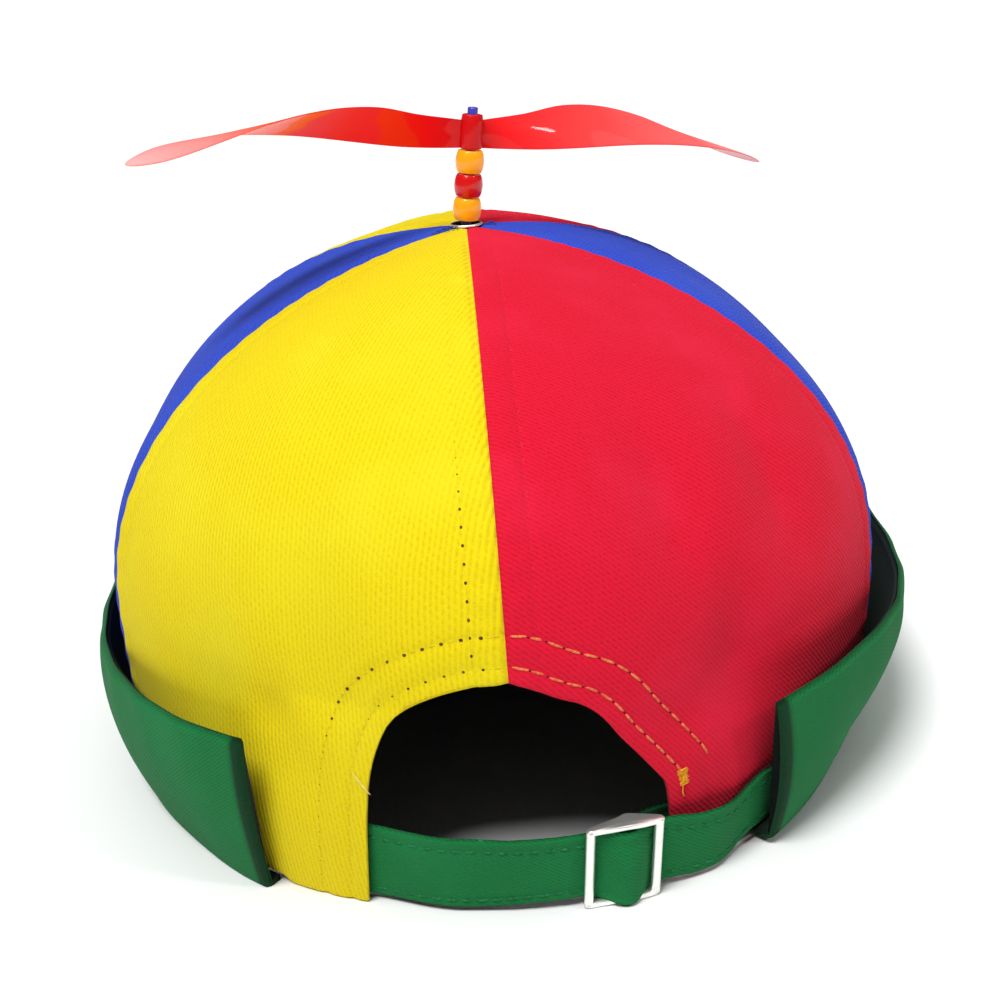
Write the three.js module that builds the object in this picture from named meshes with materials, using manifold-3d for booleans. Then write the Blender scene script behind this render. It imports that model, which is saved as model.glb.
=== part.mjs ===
// Propeller beanie: a six-panel twill crown with a turned-up cuff, a back arch closed by a strap and
// metal slide, and a plastic propeller that spins on a pin above three beads.
// Millimetres, +Z up. The wearer looks along +Y, so the back arch faces -Y. The beanie rests on its rim
// at Z 0.
import * as THREE from 'three';
import { mergeVertices } from 'three/addons/utils/BufferGeometryUtils.js';
import Module from 'manifold-3d';

const wasm = await Module();
wasm.setup();

// Driving dimensions of the crown
const rimHalfWidth = 84.2;
const rimHalfLength = 98.6;
const sideBulge = 4.6;
const endBulge = 7.4;
const widestHeight = 46;
const crownHeight = 117;
const clothThickness = 1.4;
const dentDepth = 2.4;
const apexShift = -0.5;
const rimShift = -2.2;
const rimSetback = 1;
const rimTuck = 0.045;

// Shape numbers of the crown: powers of the plan and the profiles, and how flat a panel lies
const rimSquareness = 2.17;
const widestSquareness = 2.32;
const frontSquareness = 2.1;
const sideTaper = 1.23;
const endTaper = 0.84;
const domeFullness = 0.868;
const topFlatness = 0.46;
const widestFlatness = 0.28;
const rimFlatness = 0.08;
const backSeamTurn = 68;
const frontSeamTurn = 120;
const climbEasing = 0.92;
const liftFade = 4;

// Clearances between neighbouring pieces
const gap = 0.3;
const seatGap = 0.5;

// Back arch
const archReachLeft = 30.8;
const archReachRight = 30.6;
const archHeight = 51.7;
const archMargin = 10.4;

// Cuff
const cuffHeight = 37;
const cuffThickness = 2.2;
const cuffFlare = 5.2;
const cuffFootFlare = 2;
const cuffFootLift = 6.5;
const cuffBelly = 2;
const foldThickness = 1.3;
const cuffRightEndTurn = 35.6;
const cuffLeftEndTurn = 327;
const hemStep = 0.6;
const hemLift = 2.6;
const hemLiftTurn = 20;
const cuffRightEndLean = 5;
const cuffLeftEndLean = 1.8;
const cuffLeanWay = 0.08;
const strapRoomFrom = 0.05;
const strapRoomTo = 0.09;

// Strap, its short tab and the slide
const strapHeight = 18.2;
const strapThickness = 1.2;
const strapRise = 0.9;
const strapLeftReach = 43;
const strapRightReach = 70;
const strapStandOff = 3;
const strapEndStandOff = 0.25;
const tabThickness = 1;
const tabReach = 52;
const slideWidth = 14.6;
const slideBarRadius = 0.85;
const slidePlate = 1.2;
const slideAlong = 21.4;
const slideSwing = 0.8;
const middleBarSetback = 2.8;
const middleBarShift = 1;
const slideFoot = 0.25;
const slideHeadroom = 0.3;
const slidePlateBow = 1.2;
const slideCornerCut = 0.7;

// Eyelet, pin, beads and propeller
const eyeletHoleRadius = 3;
const eyeletWall = 0.4;
const eyeletFlange = 4;
const eyeletFlangeHeight = 0.6;
const eyeletRounding = 0.18;
const postLean = 7.4;
const pinRadius = 1.2;
const pinTip = 1.6;
const pinHeadRadius = 4.6;
const pinHeadHeight = 1.4;
const beadRadius = 3.3;
const beadHeight = 5.15;
const beadEndShare = 0.86;
const beadLift = 0.4;
const hubRadius = 2.55;
const hubHeight = 7.8;
const hubShoulderHeight = 6.6;
const hubTopRadius = 2.3;
const hubEdge = 0.35;
const bladeReach = 79;
const bladeWidth = 15.2;
const bladeThickness = 0.9;
const bladeEdgeThickness = 0.36;
const bladeTipRounding = 7.9;
const bladeSeat = 3.3;
const bladeDroop = 6.9;
const bladeHeading = 22.5;

// Main dents of the soft crown. A row gives the middle of a dent by its turn from the back, in degrees
// towards the wearer's right, and its level, its depth as a share of dentDepth, and its spread each way.
const crownDents = [
  { turn: 21, level: 0.3, depth: 0.8, turnSpread: 9, levelSpread: 0.16 },
  { turn: 43, level: 0.2, depth: 0.9, turnSpread: 8, levelSpread: 0.14 },
  { turn: 31, level: -0.12, depth: 1, turnSpread: 9, levelSpread: 0.2 },
  { turn: 12, level: 0.05, depth: -0.35, turnSpread: 8, levelSpread: 0.25 },
  { turn: -24, level: 0.1, depth: 0.9, turnSpread: 8, levelSpread: 0.18 },
  { turn: -41, level: -0.05, depth: 0.7, turnSpread: 9, levelSpread: 0.22 },
  { turn: -32, level: 0.42, depth: -0.4, turnSpread: 14, levelSpread: 0.2 },
  { turn: 92, level: 0.35, depth: 0.3, turnSpread: 12, levelSpread: 0.2 },
  { turn: 140, level: 0.25, depth: 0.8, turnSpread: 12, levelSpread: 0.18 },
  { turn: -86, level: 0.3, depth: 0.35, turnSpread: 12, levelSpread: 0.18 },
  { turn: -150, level: 0.38, depth: 0.7, turnSpread: 14, levelSpread: 0.2 },
];

// Places where the rim is tucked in: turn and spread in degrees, depth as a share of rimTuck
const rimTucks = [
  { turn: 58, spread: 16, depth: 1 },
  { turn: -50, spread: 13, depth: 0.45 },
];

// Outline of the back arch: across as a share of the reach on its own side, up as a share of the height
const archOutline = [
  { across: -1, up: 0 },
  { across: -0.95, up: 0.4 },
  { across: -0.9, up: 0.6 },
  { across: -0.81, up: 0.76 },
  { across: -0.7, up: 0.86 },
  { across: -0.5, up: 0.935 },
  { across: -0.25, up: 0.985 },
  { across: 0, up: 1 },
  { across: 0.1, up: 0.98 },
  { across: 0.21, up: 0.945 },
  { across: 0.33, up: 0.91 },
  { across: 0.45, up: 0.877 },
  { across: 0.56, up: 0.815 },
  { across: 0.67, up: 0.715 },
  { across: 0.79, up: 0.615 },
  { across: 0.91, up: 0.51 },
  { across: 0.955, up: 0.46 },
  { across: 0.975, up: 0.36 },
  { across: 1, up: 0.15 },
  { across: 1, up: 0 },
];

// Cuff from its right end, round the front, to its left end: way as a share of the whole way round, height
// as a share of cuffHeight, flare of the upper edge as a share of cuffFlare, belly half way up as a share
// of cuffBelly, and how far the foot stands out and is lifted as shares of cuffFootFlare and cuffFootLift
const cuffSections = [
  { way: 0, height: 1.04, flare: 0.3, belly: 0, foot: 0, lift: 0.23 },
  { way: 0.05, height: 1.07, flare: 0.45, belly: 0.4, foot: 0, lift: 0.72 },
  { way: 0.11, height: 1.02, flare: 0.85, belly: 1.2, foot: 0, lift: 1 },
  { way: 0.19, height: 1, flare: 1.1, belly: 1.6, foot: 0, lift: 0.6 },
  { way: 0.28, height: 1.04, flare: 1.15, belly: 1.1, foot: 0, lift: 0 },
  { way: 0.39, height: 1.06, flare: 0.7, belly: 0.3, foot: 0.4, lift: 0 },
  { way: 0.51, height: 1.04, flare: 0.6, belly: 0.3, foot: 0.2, lift: 0 },
  { way: 0.64, height: 1.05, flare: 0.65, belly: 0.5, foot: 0.4, lift: 0 },
  { way: 0.74, height: 0.99, flare: 0.7, belly: 1.2, foot: 0.1, lift: 0 },
  { way: 0.83, height: 0.97, flare: 0.5, belly: 1.5, foot: 0, lift: 0 },
  { way: 0.91, height: 1.02, flare: 0.3, belly: 0.7, foot: 0, lift: 0 },
  { way: 1, height: 1.055, flare: 0.15, belly: 0, foot: 0, lift: 0 },
];

// Strap edges along the rim: reach as a share of its left or right reach, lift of the lower edge and
// cut of the upper edge as shares of strapHeight
const strapEdges = [
  { reach: -1, lift: 0, cut: 0 },
  { reach: -0.7, lift: 0, cut: 0 },
  { reach: -0.2, lift: 0, cut: 0.02 },
  { reach: 0.17, lift: 0.045, cut: 0.05 },
  { reach: 0.43, lift: 0.045, cut: 0.06 },
  { reach: 0.55, lift: 0, cut: 0.14 },
  { reach: 0.67, lift: 0, cut: 0.17 },
  { reach: 0.78, lift: 0.14, cut: 0.02 },
  { reach: 1, lift: 0.38, cut: 0 },
];

// Propeller blade from hub to tip: out as a share of bladeReach, width as a share of bladeWidth, pitch
// in degrees from flat, rise as a share of bladeDroop
const bladeSections = [
  { out: 0.024, width: 0.41, pitch: 87, rise: 0 },
  { out: 0.175, width: 0.56, pitch: 66, rise: 0.09 },
  { out: 0.325, width: 0.81, pitch: 46, rise: 0.27 },
  { out: 0.475, width: 0.96, pitch: 30, rise: 0.3 },
  { out: 0.625, width: 1, pitch: 17, rise: 0.13 },
  { out: 0.76, width: 0.95, pitch: 5, rise: -0.2 },
  { out: 0.89, width: 0.8, pitch: -4, rise: -0.6 },
  { out: 1, width: 0.52, pitch: -6, rise: -0.97 },
];

const radians = THREE.MathUtils.degToRad;
const { clamp, lerp } = THREE.MathUtils;
const seamTurns = [
  -180, -frontSeamTurn, -backSeamTurn, 0, backSeamTurn, frontSeamTurn, 180,
];
const materials = {
  yellow: new THREE.MeshStandardMaterial({ color: 0xf4e01c, roughness: 0.9, metalness: 0 }),
  red: new THREE.MeshStandardMaterial({ color: 0xd81e3c, roughness: 0.9, metalness: 0 }),
  blue: new THREE.MeshStandardMaterial({ color: 0x2f49b8, roughness: 0.9, metalness: 0 }),
  green: new THREE.MeshStandardMaterial({ color: 0x1c8048, roughness: 0.9, metalness: 0 }),
  steel: new THREE.MeshStandardMaterial({ color: 0xd9dad6, roughness: 0.25, metalness: 1 }),
  orangePlastic: new THREE.MeshStandardMaterial({ color: 0xff9e18, roughness: 0.25, metalness: 0 }),
  redPlastic: new THREE.MeshStandardMaterial({ color: 0xe8201c, roughness: 0.2, metalness: 0 }),
  bluePlastic: new THREE.MeshStandardMaterial({ color: 0x4a48c8, roughness: 0.35, metalness: 0 }),
};

// Value of one column of a table at a place, eased from row to row
function tableValue(rows, placeColumn, column, place) {
  const next = rows.findIndex((row) => row[placeColumn] >= place);
  if (next === 0) return rows[0][column];
  if (next < 0) return rows[rows.length - 1][column];
  const a = rows[next - 1];
  const b = rows[next];
  const share = (place - a[placeColumn]) / (b[placeColumn] - a[placeColumn]);
  return lerp(a[column], b[column], share * share * (3 - 2 * share));
}

// Value of one column on a rounded curve through the rows, without corners between them
function smoothValue(rows, placeColumn, column, place) {
  const next = clamp(rows.findIndex((row) => row[placeColumn] >= place), 1, rows.length - 1);
  const at = (i) => rows[clamp(i, 0, rows.length - 1)];
  const a = rows[next - 1];
  const b = rows[next];
  const slope = (i) => (at(i + 1)[column] - at(i - 1)[column])
    / (at(i + 1)[placeColumn] - at(i - 1)[placeColumn]);
  const width = b[placeColumn] - a[placeColumn];
  const t = clamp((place - a[placeColumn]) / width, 0, 1);
  return (2 * t ** 3 - 3 * t ** 2 + 1) * a[column] + (t ** 3 - 2 * t ** 2 + t) * width * slope(next - 1)
    + (3 * t ** 2 - 2 * t ** 3) * b[column] + (t ** 3 - t ** 2) * width * slope(next);
}

// Turn from the back brought to between -180 and 180
const wrapTurn = (turn) => ((turn + 180) % 360 + 360) % 360 - 180;

// How far the rim is tucked in at a turn, as a share of rimTuck
function tuckAt(turn) {
  return rimTucks.reduce((sum, row) => (
    sum + row.depth * Math.exp(-((wrapTurn(turn - row.turn) / row.spread) ** 2))
  ), 0);
}

// Smooth crown before it is pulled flat between seams. The plan is a squarish oval, tucked in at places
// of the rim. Level runs from -1 at the rim through 0 at the widest part to 1 at the top.
function ovalPoint(turn, level) {
  const angle = radians(turn);
  const across = Math.sin(angle);
  const along = Math.cos(angle);
  const below = Math.max(-level, 0);
  const climb = radians(90 * Math.max(level, 0));
  const taper = sideTaper * across ** 2 + endTaper * along ** 2;
  const shrink = Math.abs(Math.cos(climb)) ** taper;
  const tuck = rimTuck * below ** 3 * tuckAt(turn);
  const halfWidth = (rimHalfWidth + sideBulge * (1 - below ** 2)) * shrink * (1 - tuck);
  const halfLength = (rimHalfLength + endBulge * (1 - below ** 2)) * shrink * (1 - tuck);
  const squareness = along > 0 ? lerp(widestSquareness, rimSquareness, below ** 2) : frontSquareness;
  const power = 2 / squareness;
  const height = level < 0
    ? widestHeight * (1 + level)
    : widestHeight + (crownHeight - widestHeight) * Math.sin(climb) ** domeFullness;
  const shift = apexShift * (height / crownHeight) ** 2 + rimShift * below ** 2;
  return new THREE.Vector3(
    halfWidth * Math.sign(across) * Math.abs(across) ** power + shift,
    -halfLength * Math.sign(along) * Math.abs(along) ** power - rimSetback * below ** 2,
    height,
  );
}

// Outward direction of the smooth crown
function ovalNormal(turn, level) {
  const step = 0.02;
  const around = ovalPoint(turn + 60 * step, level).sub(ovalPoint(turn - 60 * step, level));
  const up = ovalPoint(turn, Math.min(level + step, 0.998)).sub(ovalPoint(turn, level - step));
  return around.cross(up).normalize();
}

// How far a panel is pulled to the straight line between its seams at a level
function flatnessAt(level) {
  if (level < 0) return lerp(widestFlatness, rimFlatness, -level);
  return lerp(widestFlatness, topFlatness, level ** 2);
}

// Outer face of the cloth crown: each panel pulled part of the way to the straight line between its
// seams, then dented
function crownPoint(turn, level) {
  const wrapped = wrapTurn(turn);
  const panel = clamp(seamTurns.findIndex((seam) => seam > wrapped) - 1, 0, 5);
  const share = (wrapped - seamTurns[panel]) / (seamTurns[panel + 1] - seamTurns[panel]);
  const straight = ovalPoint(seamTurns[panel], level).lerp(ovalPoint(seamTurns[panel + 1], level), share);
  const point = ovalPoint(wrapped, level).lerp(straight, flatnessAt(level));
  let dent = 0;
  for (const row of crownDents) {
    const away = wrapTurn(wrapped - row.turn) / row.turnSpread;
    dent += row.depth * dentDepth * Math.exp(-(away ** 2) - ((level - row.level) / row.levelSpread) ** 2);
  }
  return point.addScaledVector(ovalNormal(wrapped, level), -dent);
}

// Level of the crown where it is so high above the rim
const levelAtHeight = (height) => height / widestHeight - 1;

// Closed body from a grid of points, rows[i][j], whose rows and columns both run round it or end in caps
function gridSolid(rows, closedAcross) {
  const across = rows[0].length;
  const positions = rows.flat().flatMap((point) => [point.x, point.y, point.z]);
  const index = [];
  const corner = (i, j) => i * across + (j % across);
  const last = closedAcross ? across : across - 1;
  for (let i = 0; i + 1 < rows.length; i += 1) {
    for (let j = 0; j < last; j += 1) {
      index.push(corner(i, j), corner(i, j + 1), corner(i + 1, j + 1));
      index.push(corner(i, j), corner(i + 1, j + 1), corner(i + 1, j));
    }
  }
  return { positions, index, corner };
}

// Geometry from vertices and triangle corners
function geometryFrom(positions, index) {
  const geometry = new THREE.BufferGeometry();
  geometry.setAttribute('position', new THREE.Float32BufferAttribute(positions, 3));
  geometry.setIndex(index);
  return geometry;
}

// Closed sweep of a ring of points from section to section, with a flat fan at each end
function sweptSolid(sections) {
  const { positions, index, corner } = gridSolid(sections, true);
  const across = sections[0].length;
  const end = sections.length - 1;
  const half = across / 2;
  for (let j = 0; j + 1 < half; j += 1) {
    const mirror = across - 1 - j;
    index.push(corner(0, j), corner(0, mirror), corner(0, j + 1));
    index.push(corner(0, j + 1), corner(0, mirror), corner(0, mirror - 1));
    index.push(corner(end, j), corner(end, j + 1), corner(end, mirror));
    index.push(corner(end, j + 1), corner(end, mirror - 1), corner(end, mirror));
  }
  return geometryFrom(positions, index);
}

// A three.js geometry as a manifold solid, and back
function toSolid(geometry) {
  const bare = geometry.clone();
  bare.deleteAttribute('normal');
  bare.deleteAttribute('uv');
  const merged = mergeVertices(bare, 1e-4);
  return new wasm.Manifold(new wasm.Mesh({
    numProp: 3,
    vertProperties: new Float32Array(merged.attributes.position.array),
    triVerts: new Uint32Array(merged.index.array),
  }));
}

function toGeometry(solid) {
  const mesh = solid.getMesh();
  return geometryFrom(Array.from(mesh.vertProperties), Array.from(mesh.triVerts));
}

function addPiece(parent, name, geometry, material) {
  const mesh = new THREE.Mesh(geometry, material);
  mesh.name = name;
  parent.add(mesh);
  return mesh;
}

// Crown panels

// How far the foot of the cuff is lifted at one share of its way round
function footLift(way) {
  return cuffFootLift * Math.max(smoothValue(cuffSections, 'way', 'lift', way), 0);
}

// How far the lower edge of the crown is lifted: by the fold of the cuff under it, and behind the strap
// towards the cuff's right end
function rimLift(turn) {
  const around = (turn + 360) % 360;
  const inside = Math.min(around - cuffRightEndTurn, cuffLeftEndTurn - around);
  const way = (around - cuffRightEndTurn) / (cuffLeftEndTurn - cuffRightEndTurn);
  const covered = THREE.MathUtils.smoothstep(inside, -4 * hemStep, -hemStep);
  const behindStrap = around < 180 ? THREE.MathUtils.smoothstep(around, hemLiftTurn, cuffRightEndTurn) : 0;
  return lerp(hemLift * behindStrap, footLift(way) + foldThickness + gap, covered);
}

// Turns of a panel's columns, with two more where its lower edge steps up at an end of the cuff
function panelTurns(from, to, columns) {
  const turns = Array.from({ length: columns + 1 }, (_, j) => lerp(from, to, j / columns));
  for (const step of [hemStep, 4 * hemStep]) {
    for (const turn of [cuffRightEndTurn - step, cuffLeftEndTurn - 360 + step]) {
      if (turn > from && turn < to) turns.push(turn);
    }
  }
  return turns.sort((a, b) => a - b);
}

// Level where the crown comes in to a hole of this radius round the top
function levelAtRadius(turn, radius) {
  let low = 0.5;
  let high = 0.9999;
  for (let i = 0; i < 40; i += 1) {
    const middle = (low + high) / 2;
    const point = ovalPoint(turn, middle);
    if (Math.hypot(point.x - apexShift, point.y) > radius) low = middle;
    else high = middle;
  }
  return low;
}

// Panel between two neighbouring seams, as a wall with the seam's gap at both edges
function crownPanel(panel, columns, levels) {
  const from = seamTurns[panel];
  const to = seamTurns[panel + 1];
  const holeRadius = eyeletHoleRadius + eyeletWall + gap;
  const sections = [];
  for (let i = 0; i <= levels; i += 1) {
    const climb = i / levels;
    const outer = [];
    const inner = [];
    for (const rough of panelTurns(from, to, columns)) {
      const bottom = levelAtHeight(rimLift(rough) * (1 - climb) ** liftFade);
      const top = levelAtRadius(rough, holeRadius);
      const level = lerp(bottom, top, climb ** climbEasing);
      const chord = ovalPoint(from, level).distanceTo(ovalPoint(to, level));
      const trim = gap / 2 / chord;
      const turn = clamp(rough, lerp(from, to, trim), lerp(from, to, 1 - trim));
      const point = crownPoint(turn, level);
      outer.push(point);
      const inside = point.clone().addScaledVector(ovalNormal(turn, level), -clothThickness);
      inner.unshift(i === 0 ? inside.setZ(point.z) : inside);
    }
    sections.push([...outer, ...inner]);
  }
  return sweptSolid(sections);
}

// Prism through the back of the crown in the outline of the arch
function archPrism() {
  const points = archOutline.map(({ across, up }) => new THREE.Vector2(
    across * (across < 0 ? archReachLeft : archReachRight),
    up * archHeight,
  ));
  const shape = new THREE.Shape();
  shape.moveTo(points[0].x, -gap);
  shape.lineTo(points[0].x, points[0].y);
  shape.splineThru(points.slice(1, -1));
  shape.lineTo(points[points.length - 1].x, points[points.length - 1].y);
  shape.lineTo(points[points.length - 1].x, -gap);
  const depth = rimHalfLength + endBulge + clothThickness;
  const prism = new THREE.ExtrudeGeometry(shape, { depth, bevelEnabled: false, curveSegments: 2 });
  return prism.rotateX(Math.PI / 2);
}

// Cuff

// Shares of the wall's height where its section has a corner
const wallShares = [0, 0.12, 0.3, 0.55, 0.8, 1];

// Outward direction of the crown half way up its lower part, laid level
const levelOutward = (turn) => ovalNormal(turn, -0.5).setZ(0).normalize();

// Section of the cuff at one share of its way round: a wall that stands off the crown, with its fold under
// the crown's edge. Towards the two ends the section leans, so that its upper edge reaches further round.
function cuffSection(way) {
  const { smoothstep } = THREE.MathUtils;
  const footTurn = lerp(cuffRightEndTurn, cuffLeftEndTurn, way);
  const lean = cuffLeftEndLean * smoothstep(way, 1 - cuffLeanWay, 1)
    - cuffRightEndLean * (1 - smoothstep(way, 0, cuffLeanWay));
  const lift = footLift(way);
  const height = cuffHeight * smoothValue(cuffSections, 'way', 'height', way);
  const flare = cuffFlare * smoothValue(cuffSections, 'way', 'flare', way);
  const belly = cuffBelly * smoothValue(cuffSections, 'way', 'belly', way);
  const footFlare = cuffFootFlare * smoothValue(cuffSections, 'way', 'foot', way);
  const strapRoom = (strapThickness + seatGap) * (1 - smoothstep(way, strapRoomFrom, strapRoomTo));
  const outer = [];
  const inner = [];
  for (const share of wallShares) {
    const turn = footTurn + lean * share;
    const z = lerp(lift + foldThickness, height, share);
    const sideways = levelOutward(turn);
    const clear = gap + flare * share ** 1.2 + belly * 4 * share * (1 - share) + footFlare * (1 - share) ** 1.5;
    const face = ovalPoint(turn, levelAtHeight(z)).addScaledVector(sideways, Math.max(strapRoom + gap, clear));
    inner.unshift(face.clone());
    outer.push(face.addScaledVector(sideways, cuffThickness));
  }
  const sideways = levelOutward(footTurn);
  const foot = ovalPoint(footTurn, levelAtHeight(lift));
  const under = (out, z) => foot.clone().addScaledVector(sideways, out).setZ(lift + z);
  const heel = outer[0].clone().sub(foot).dot(sideways);
  const fold = [under(-clothThickness, 0), under(heel - cuffThickness / 2, 0)];
  const tongue = [under(-clothThickness, foldThickness)];
  return [...fold, ...outer, ...inner, ...tongue].reverse();
}

function cuffGeometry(steps) {
  return outlinedSweep(Array.from({ length: steps + 1 }, (_, i) => cuffSection(i / steps)));
}

// Closed sweep of a ring that isn't a plain strip: the ends are triangulated as flat outlines
function outlinedSweep(sections) {
  const { positions, index, corner } = gridSolid(sections, true);
  for (const i of [0, sections.length - 1]) {
    const ring = sections[i];
    const across = ring[1].clone().sub(ring[0]).setZ(0).normalize();
    const flat = ring.map((point) => new THREE.Vector2(point.clone().sub(ring[0]).dot(across), point.z));
    const ringSign = Math.sign(THREE.ShapeUtils.area(flat)) * (i === 0 ? -1 : 1);
    for (const [a, b, c] of THREE.ShapeUtils.triangulateShape(flat, [])) {
      const sameWay = THREE.ShapeUtils.area([flat[a], flat[b], flat[c]]) * ringSign > 0;
      index.push(corner(i, a), corner(i, sameWay ? b : c), corner(i, sameWay ? c : b));
    }
  }
  return geometryFrom(positions, index);
}

// Strap, tab and slide share one place to work in: along the rim from the middle of the back, out from
// the crown's outer face, and up. The crown's face is taken as straight from the rim to the strap's top.

const rimTurns = Array.from({ length: 361 }, (_, i) => (i - 180) / 2);
const middleIndex = rimTurns.indexOf(0);
const rimLengths = rimTurns.map(() => 0);
for (let i = 1; i < rimTurns.length; i += 1) {
  const step = ovalPoint(rimTurns[i], -1).distanceTo(ovalPoint(rimTurns[i - 1], -1));
  rimLengths[i] = rimLengths[i - 1] + step;
}

function turnAlongRim(along) {
  const length = along + rimLengths[middleIndex];
  const next = clamp(rimLengths.findIndex((value) => value >= length), 1, rimLengths.length - 1);
  const share = (length - rimLengths[next - 1]) / (rimLengths[next] - rimLengths[next - 1]);
  return lerp(rimTurns[next - 1], rimTurns[next], share);
}

function undentedPoint(turn, level) {
  const seam = turn < 0 ? -backSeamTurn : backSeamTurn;
  const straight = ovalPoint(0, level).lerp(ovalPoint(seam, level), turn / seam);
  return ovalPoint(turn, level).lerp(straight, flatnessAt(level));
}

function strapPoint(along, out, z) {
  const turn = turnAlongRim(along);
  const foot = undentedPoint(turn, -1);
  const head = undentedPoint(turn, levelAtHeight(strapHeight));
  const sideways = ovalNormal(turn, -1).setZ(0).normalize();
  const slope = head.sub(foot).dot(sideways) / strapHeight;
  return foot.addScaledVector(sideways, out + slope * z).setZ(z);
}

// Bars of the slide: its sides stand out past the strap and its middle bar is set back
const slideLeft = slideAlong - slideWidth / 2 + slideBarRadius;
const slideRight = slideAlong + slideWidth / 2 - slideBarRadius;
const slideMiddle = slideAlong + middleBarShift;
const strapFaceAtSlide = strapStandOff - slideSwing / 2;
const leftBarOut = strapFaceAtSlide - slideSwing / 2 + gap + slideBarRadius;
const rightBarOut = leftBarOut + slideSwing;
const middleBarOut = (leftBarOut + rightBarOut) / 2 - middleBarSetback;
const tabLoopRadius = slideBarRadius + gap + tabThickness / 2;
const strapHumpOut = middleBarOut + tabLoopRadius + tabThickness / 2 + gap + strapThickness / 2;
const slideHeight = strapRise + strapHeight + slidePlate - slideHeadroom;

// Middle line of the strap: along as a length from the middle of the back, out from the crown's face
const strapLine = [
  { along: -strapLeftReach, out: -clothThickness - gap - strapThickness / 2 },
  { along: -0.94 * archReachLeft, out: -clothThickness - gap - strapThickness / 2 },
  { along: -archReachLeft * 0.3, out: 0.1 * strapStandOff },
  { along: slideLeft, out: leftBarOut - slideBarRadius - gap - strapThickness / 2 },
  { along: slideMiddle, out: strapHumpOut },
  { along: slideRight, out: rightBarOut - slideBarRadius - gap - strapThickness / 2 },
  { along: archReachRight + archMargin, out: 1.3 * strapStandOff - strapThickness / 2 },
  { along: 0.72 * strapRightReach, out: seatGap + strapThickness / 2 },
  { along: strapRightReach, out: seatGap + strapEndStandOff + strapThickness / 2 },
];

// Middle line of the tab, from its end inside the crown, round the middle bar and back on itself
function tabLine() {
  const inside = -clothThickness - gap - tabThickness / 2;
  const line = [
    { along: tabReach, out: inside },
    { along: archReachRight + archMargin, out: inside },
    { along: slideRight + slideBarRadius + gap, out: inside },
  ];
  for (let i = 0; i <= 10; i += 1) {
    const angle = radians(-80 - 20 * i);
    line.push({
      along: slideMiddle + tabLoopRadius * Math.cos(angle),
      out: middleBarOut + tabLoopRadius * Math.sin(angle),
    });
  }
  line.push({ along: slideRight, out: lerp(middleBarOut - tabLoopRadius, inside, 0.5) + tabThickness + gap });
  return line;
}

// Ribbon that follows a line of places along and out, with its own lower and upper edge
function ribbon(line, thickness, lowerEdge, upperEdge) {
  const sections = line.map((place, i) => {
    const before = line[Math.max(i - 1, 0)];
    const after = line[Math.min(i + 1, line.length - 1)];
    const run = after.along - before.along;
    const rise = after.out - before.out;
    const length = Math.hypot(run, rise);
    const shift = { along: -rise / length * thickness / 2, out: run / length * thickness / 2 };
    const low = lowerEdge(place.along);
    const high = upperEdge(place.along);
    const corner = (side, z) => strapPoint(
      place.along + side * shift.along,
      place.out + side * shift.out,
      z,
    );
    return [corner(1, high), corner(1, low), corner(-1, low), corner(-1, high)];
  });
  return sweptSolid(sections);
}

function strapGeometry() {
  const line = [];
  const steps = 64;
  for (let i = 0; i <= steps; i += 1) {
    const along = lerp(-strapLeftReach, strapRightReach, i / steps);
    line.push({ along, out: tableValue(strapLine, 'along', 'out', along) });
  }
  const reachShare = (along) => along / (along < 0 ? strapLeftReach : strapRightReach);
  const low = (along) => strapRise + strapHeight * tableValue(strapEdges, 'reach', 'lift', reachShare(along));
  const high = (along) => strapRise
    + strapHeight * (1 - tableValue(strapEdges, 'reach', 'cut', reachShare(along)));
  return ribbon(line, strapThickness, low, high);
}

function tabGeometry() {
  const low = slideFoot + slidePlate + gap;
  const high = slideHeight - slidePlate - gap;
  return ribbon(tabLine(), tabThickness, () => low + gap, () => high - gap);
}

// Place on the slide. It is stiff, so all of it keeps the lean that the strap has at the slide's own middle.
const slideMidHeight = (slideFoot + slideHeight) / 2;
const slideLean = strapPoint(slideAlong, 0, slideHeight).sub(strapPoint(slideAlong, 0, slideFoot))
  .divideScalar(slideHeight - slideFoot);

function slidePoint(along, out, z) {
  return strapPoint(along, out, slideMidHeight).addScaledVector(slideLean, z - slideMidHeight);
}

// Upright bar of the slide between its end plates
function slideBar(along, out) {
  const low = slidePoint(along, out, slideFoot + slidePlate / 2);
  const high = slidePoint(along, out, slideHeight - slidePlate / 2);
  const bar = new THREE.CylinderGeometry(slideBarRadius, slideBarRadius, low.distanceTo(high), 12);
  const up = high.clone().sub(low).normalize();
  bar.applyQuaternion(new THREE.Quaternion().setFromUnitVectors(new THREE.Vector3(0, 1, 0), up));
  const middle = low.lerp(high, 0.5);
  return bar.translate(middle.x, middle.y, middle.z);
}

// End plate of the slide, a shallow wedge that reaches back to the middle bar
function slideEndPlate(z) {
  const front = slideBarRadius;
  const cut = slideCornerCut * slideBarRadius;
  const bow = slidePlateBow * slideBarRadius;
  const corners = [
    slidePoint(slideLeft - front, leftBarOut + front - 2 * cut, z),
    slidePoint(slideLeft - front + cut, leftBarOut + front, z),
    slidePoint(slideAlong, (leftBarOut + rightBarOut) / 2 + bow, z),
    slidePoint(slideRight + front - cut, rightBarOut + front, z),
    slidePoint(slideRight + front, rightBarOut + front - 2 * cut, z),
    slidePoint(slideMiddle + front, middleBarOut - cut, z),
    slidePoint(slideMiddle, middleBarOut - front, z),
    slidePoint(slideMiddle - front, middleBarOut - cut, z),
  ];
  const shape = new THREE.Shape(corners.map((point) => new THREE.Vector2(point.x, point.y)));
  const plate = new THREE.ExtrudeGeometry(shape, { depth: slidePlate, bevelEnabled: false });
  return plate.translate(0, 0, z - slidePlate / 2);
}

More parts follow.
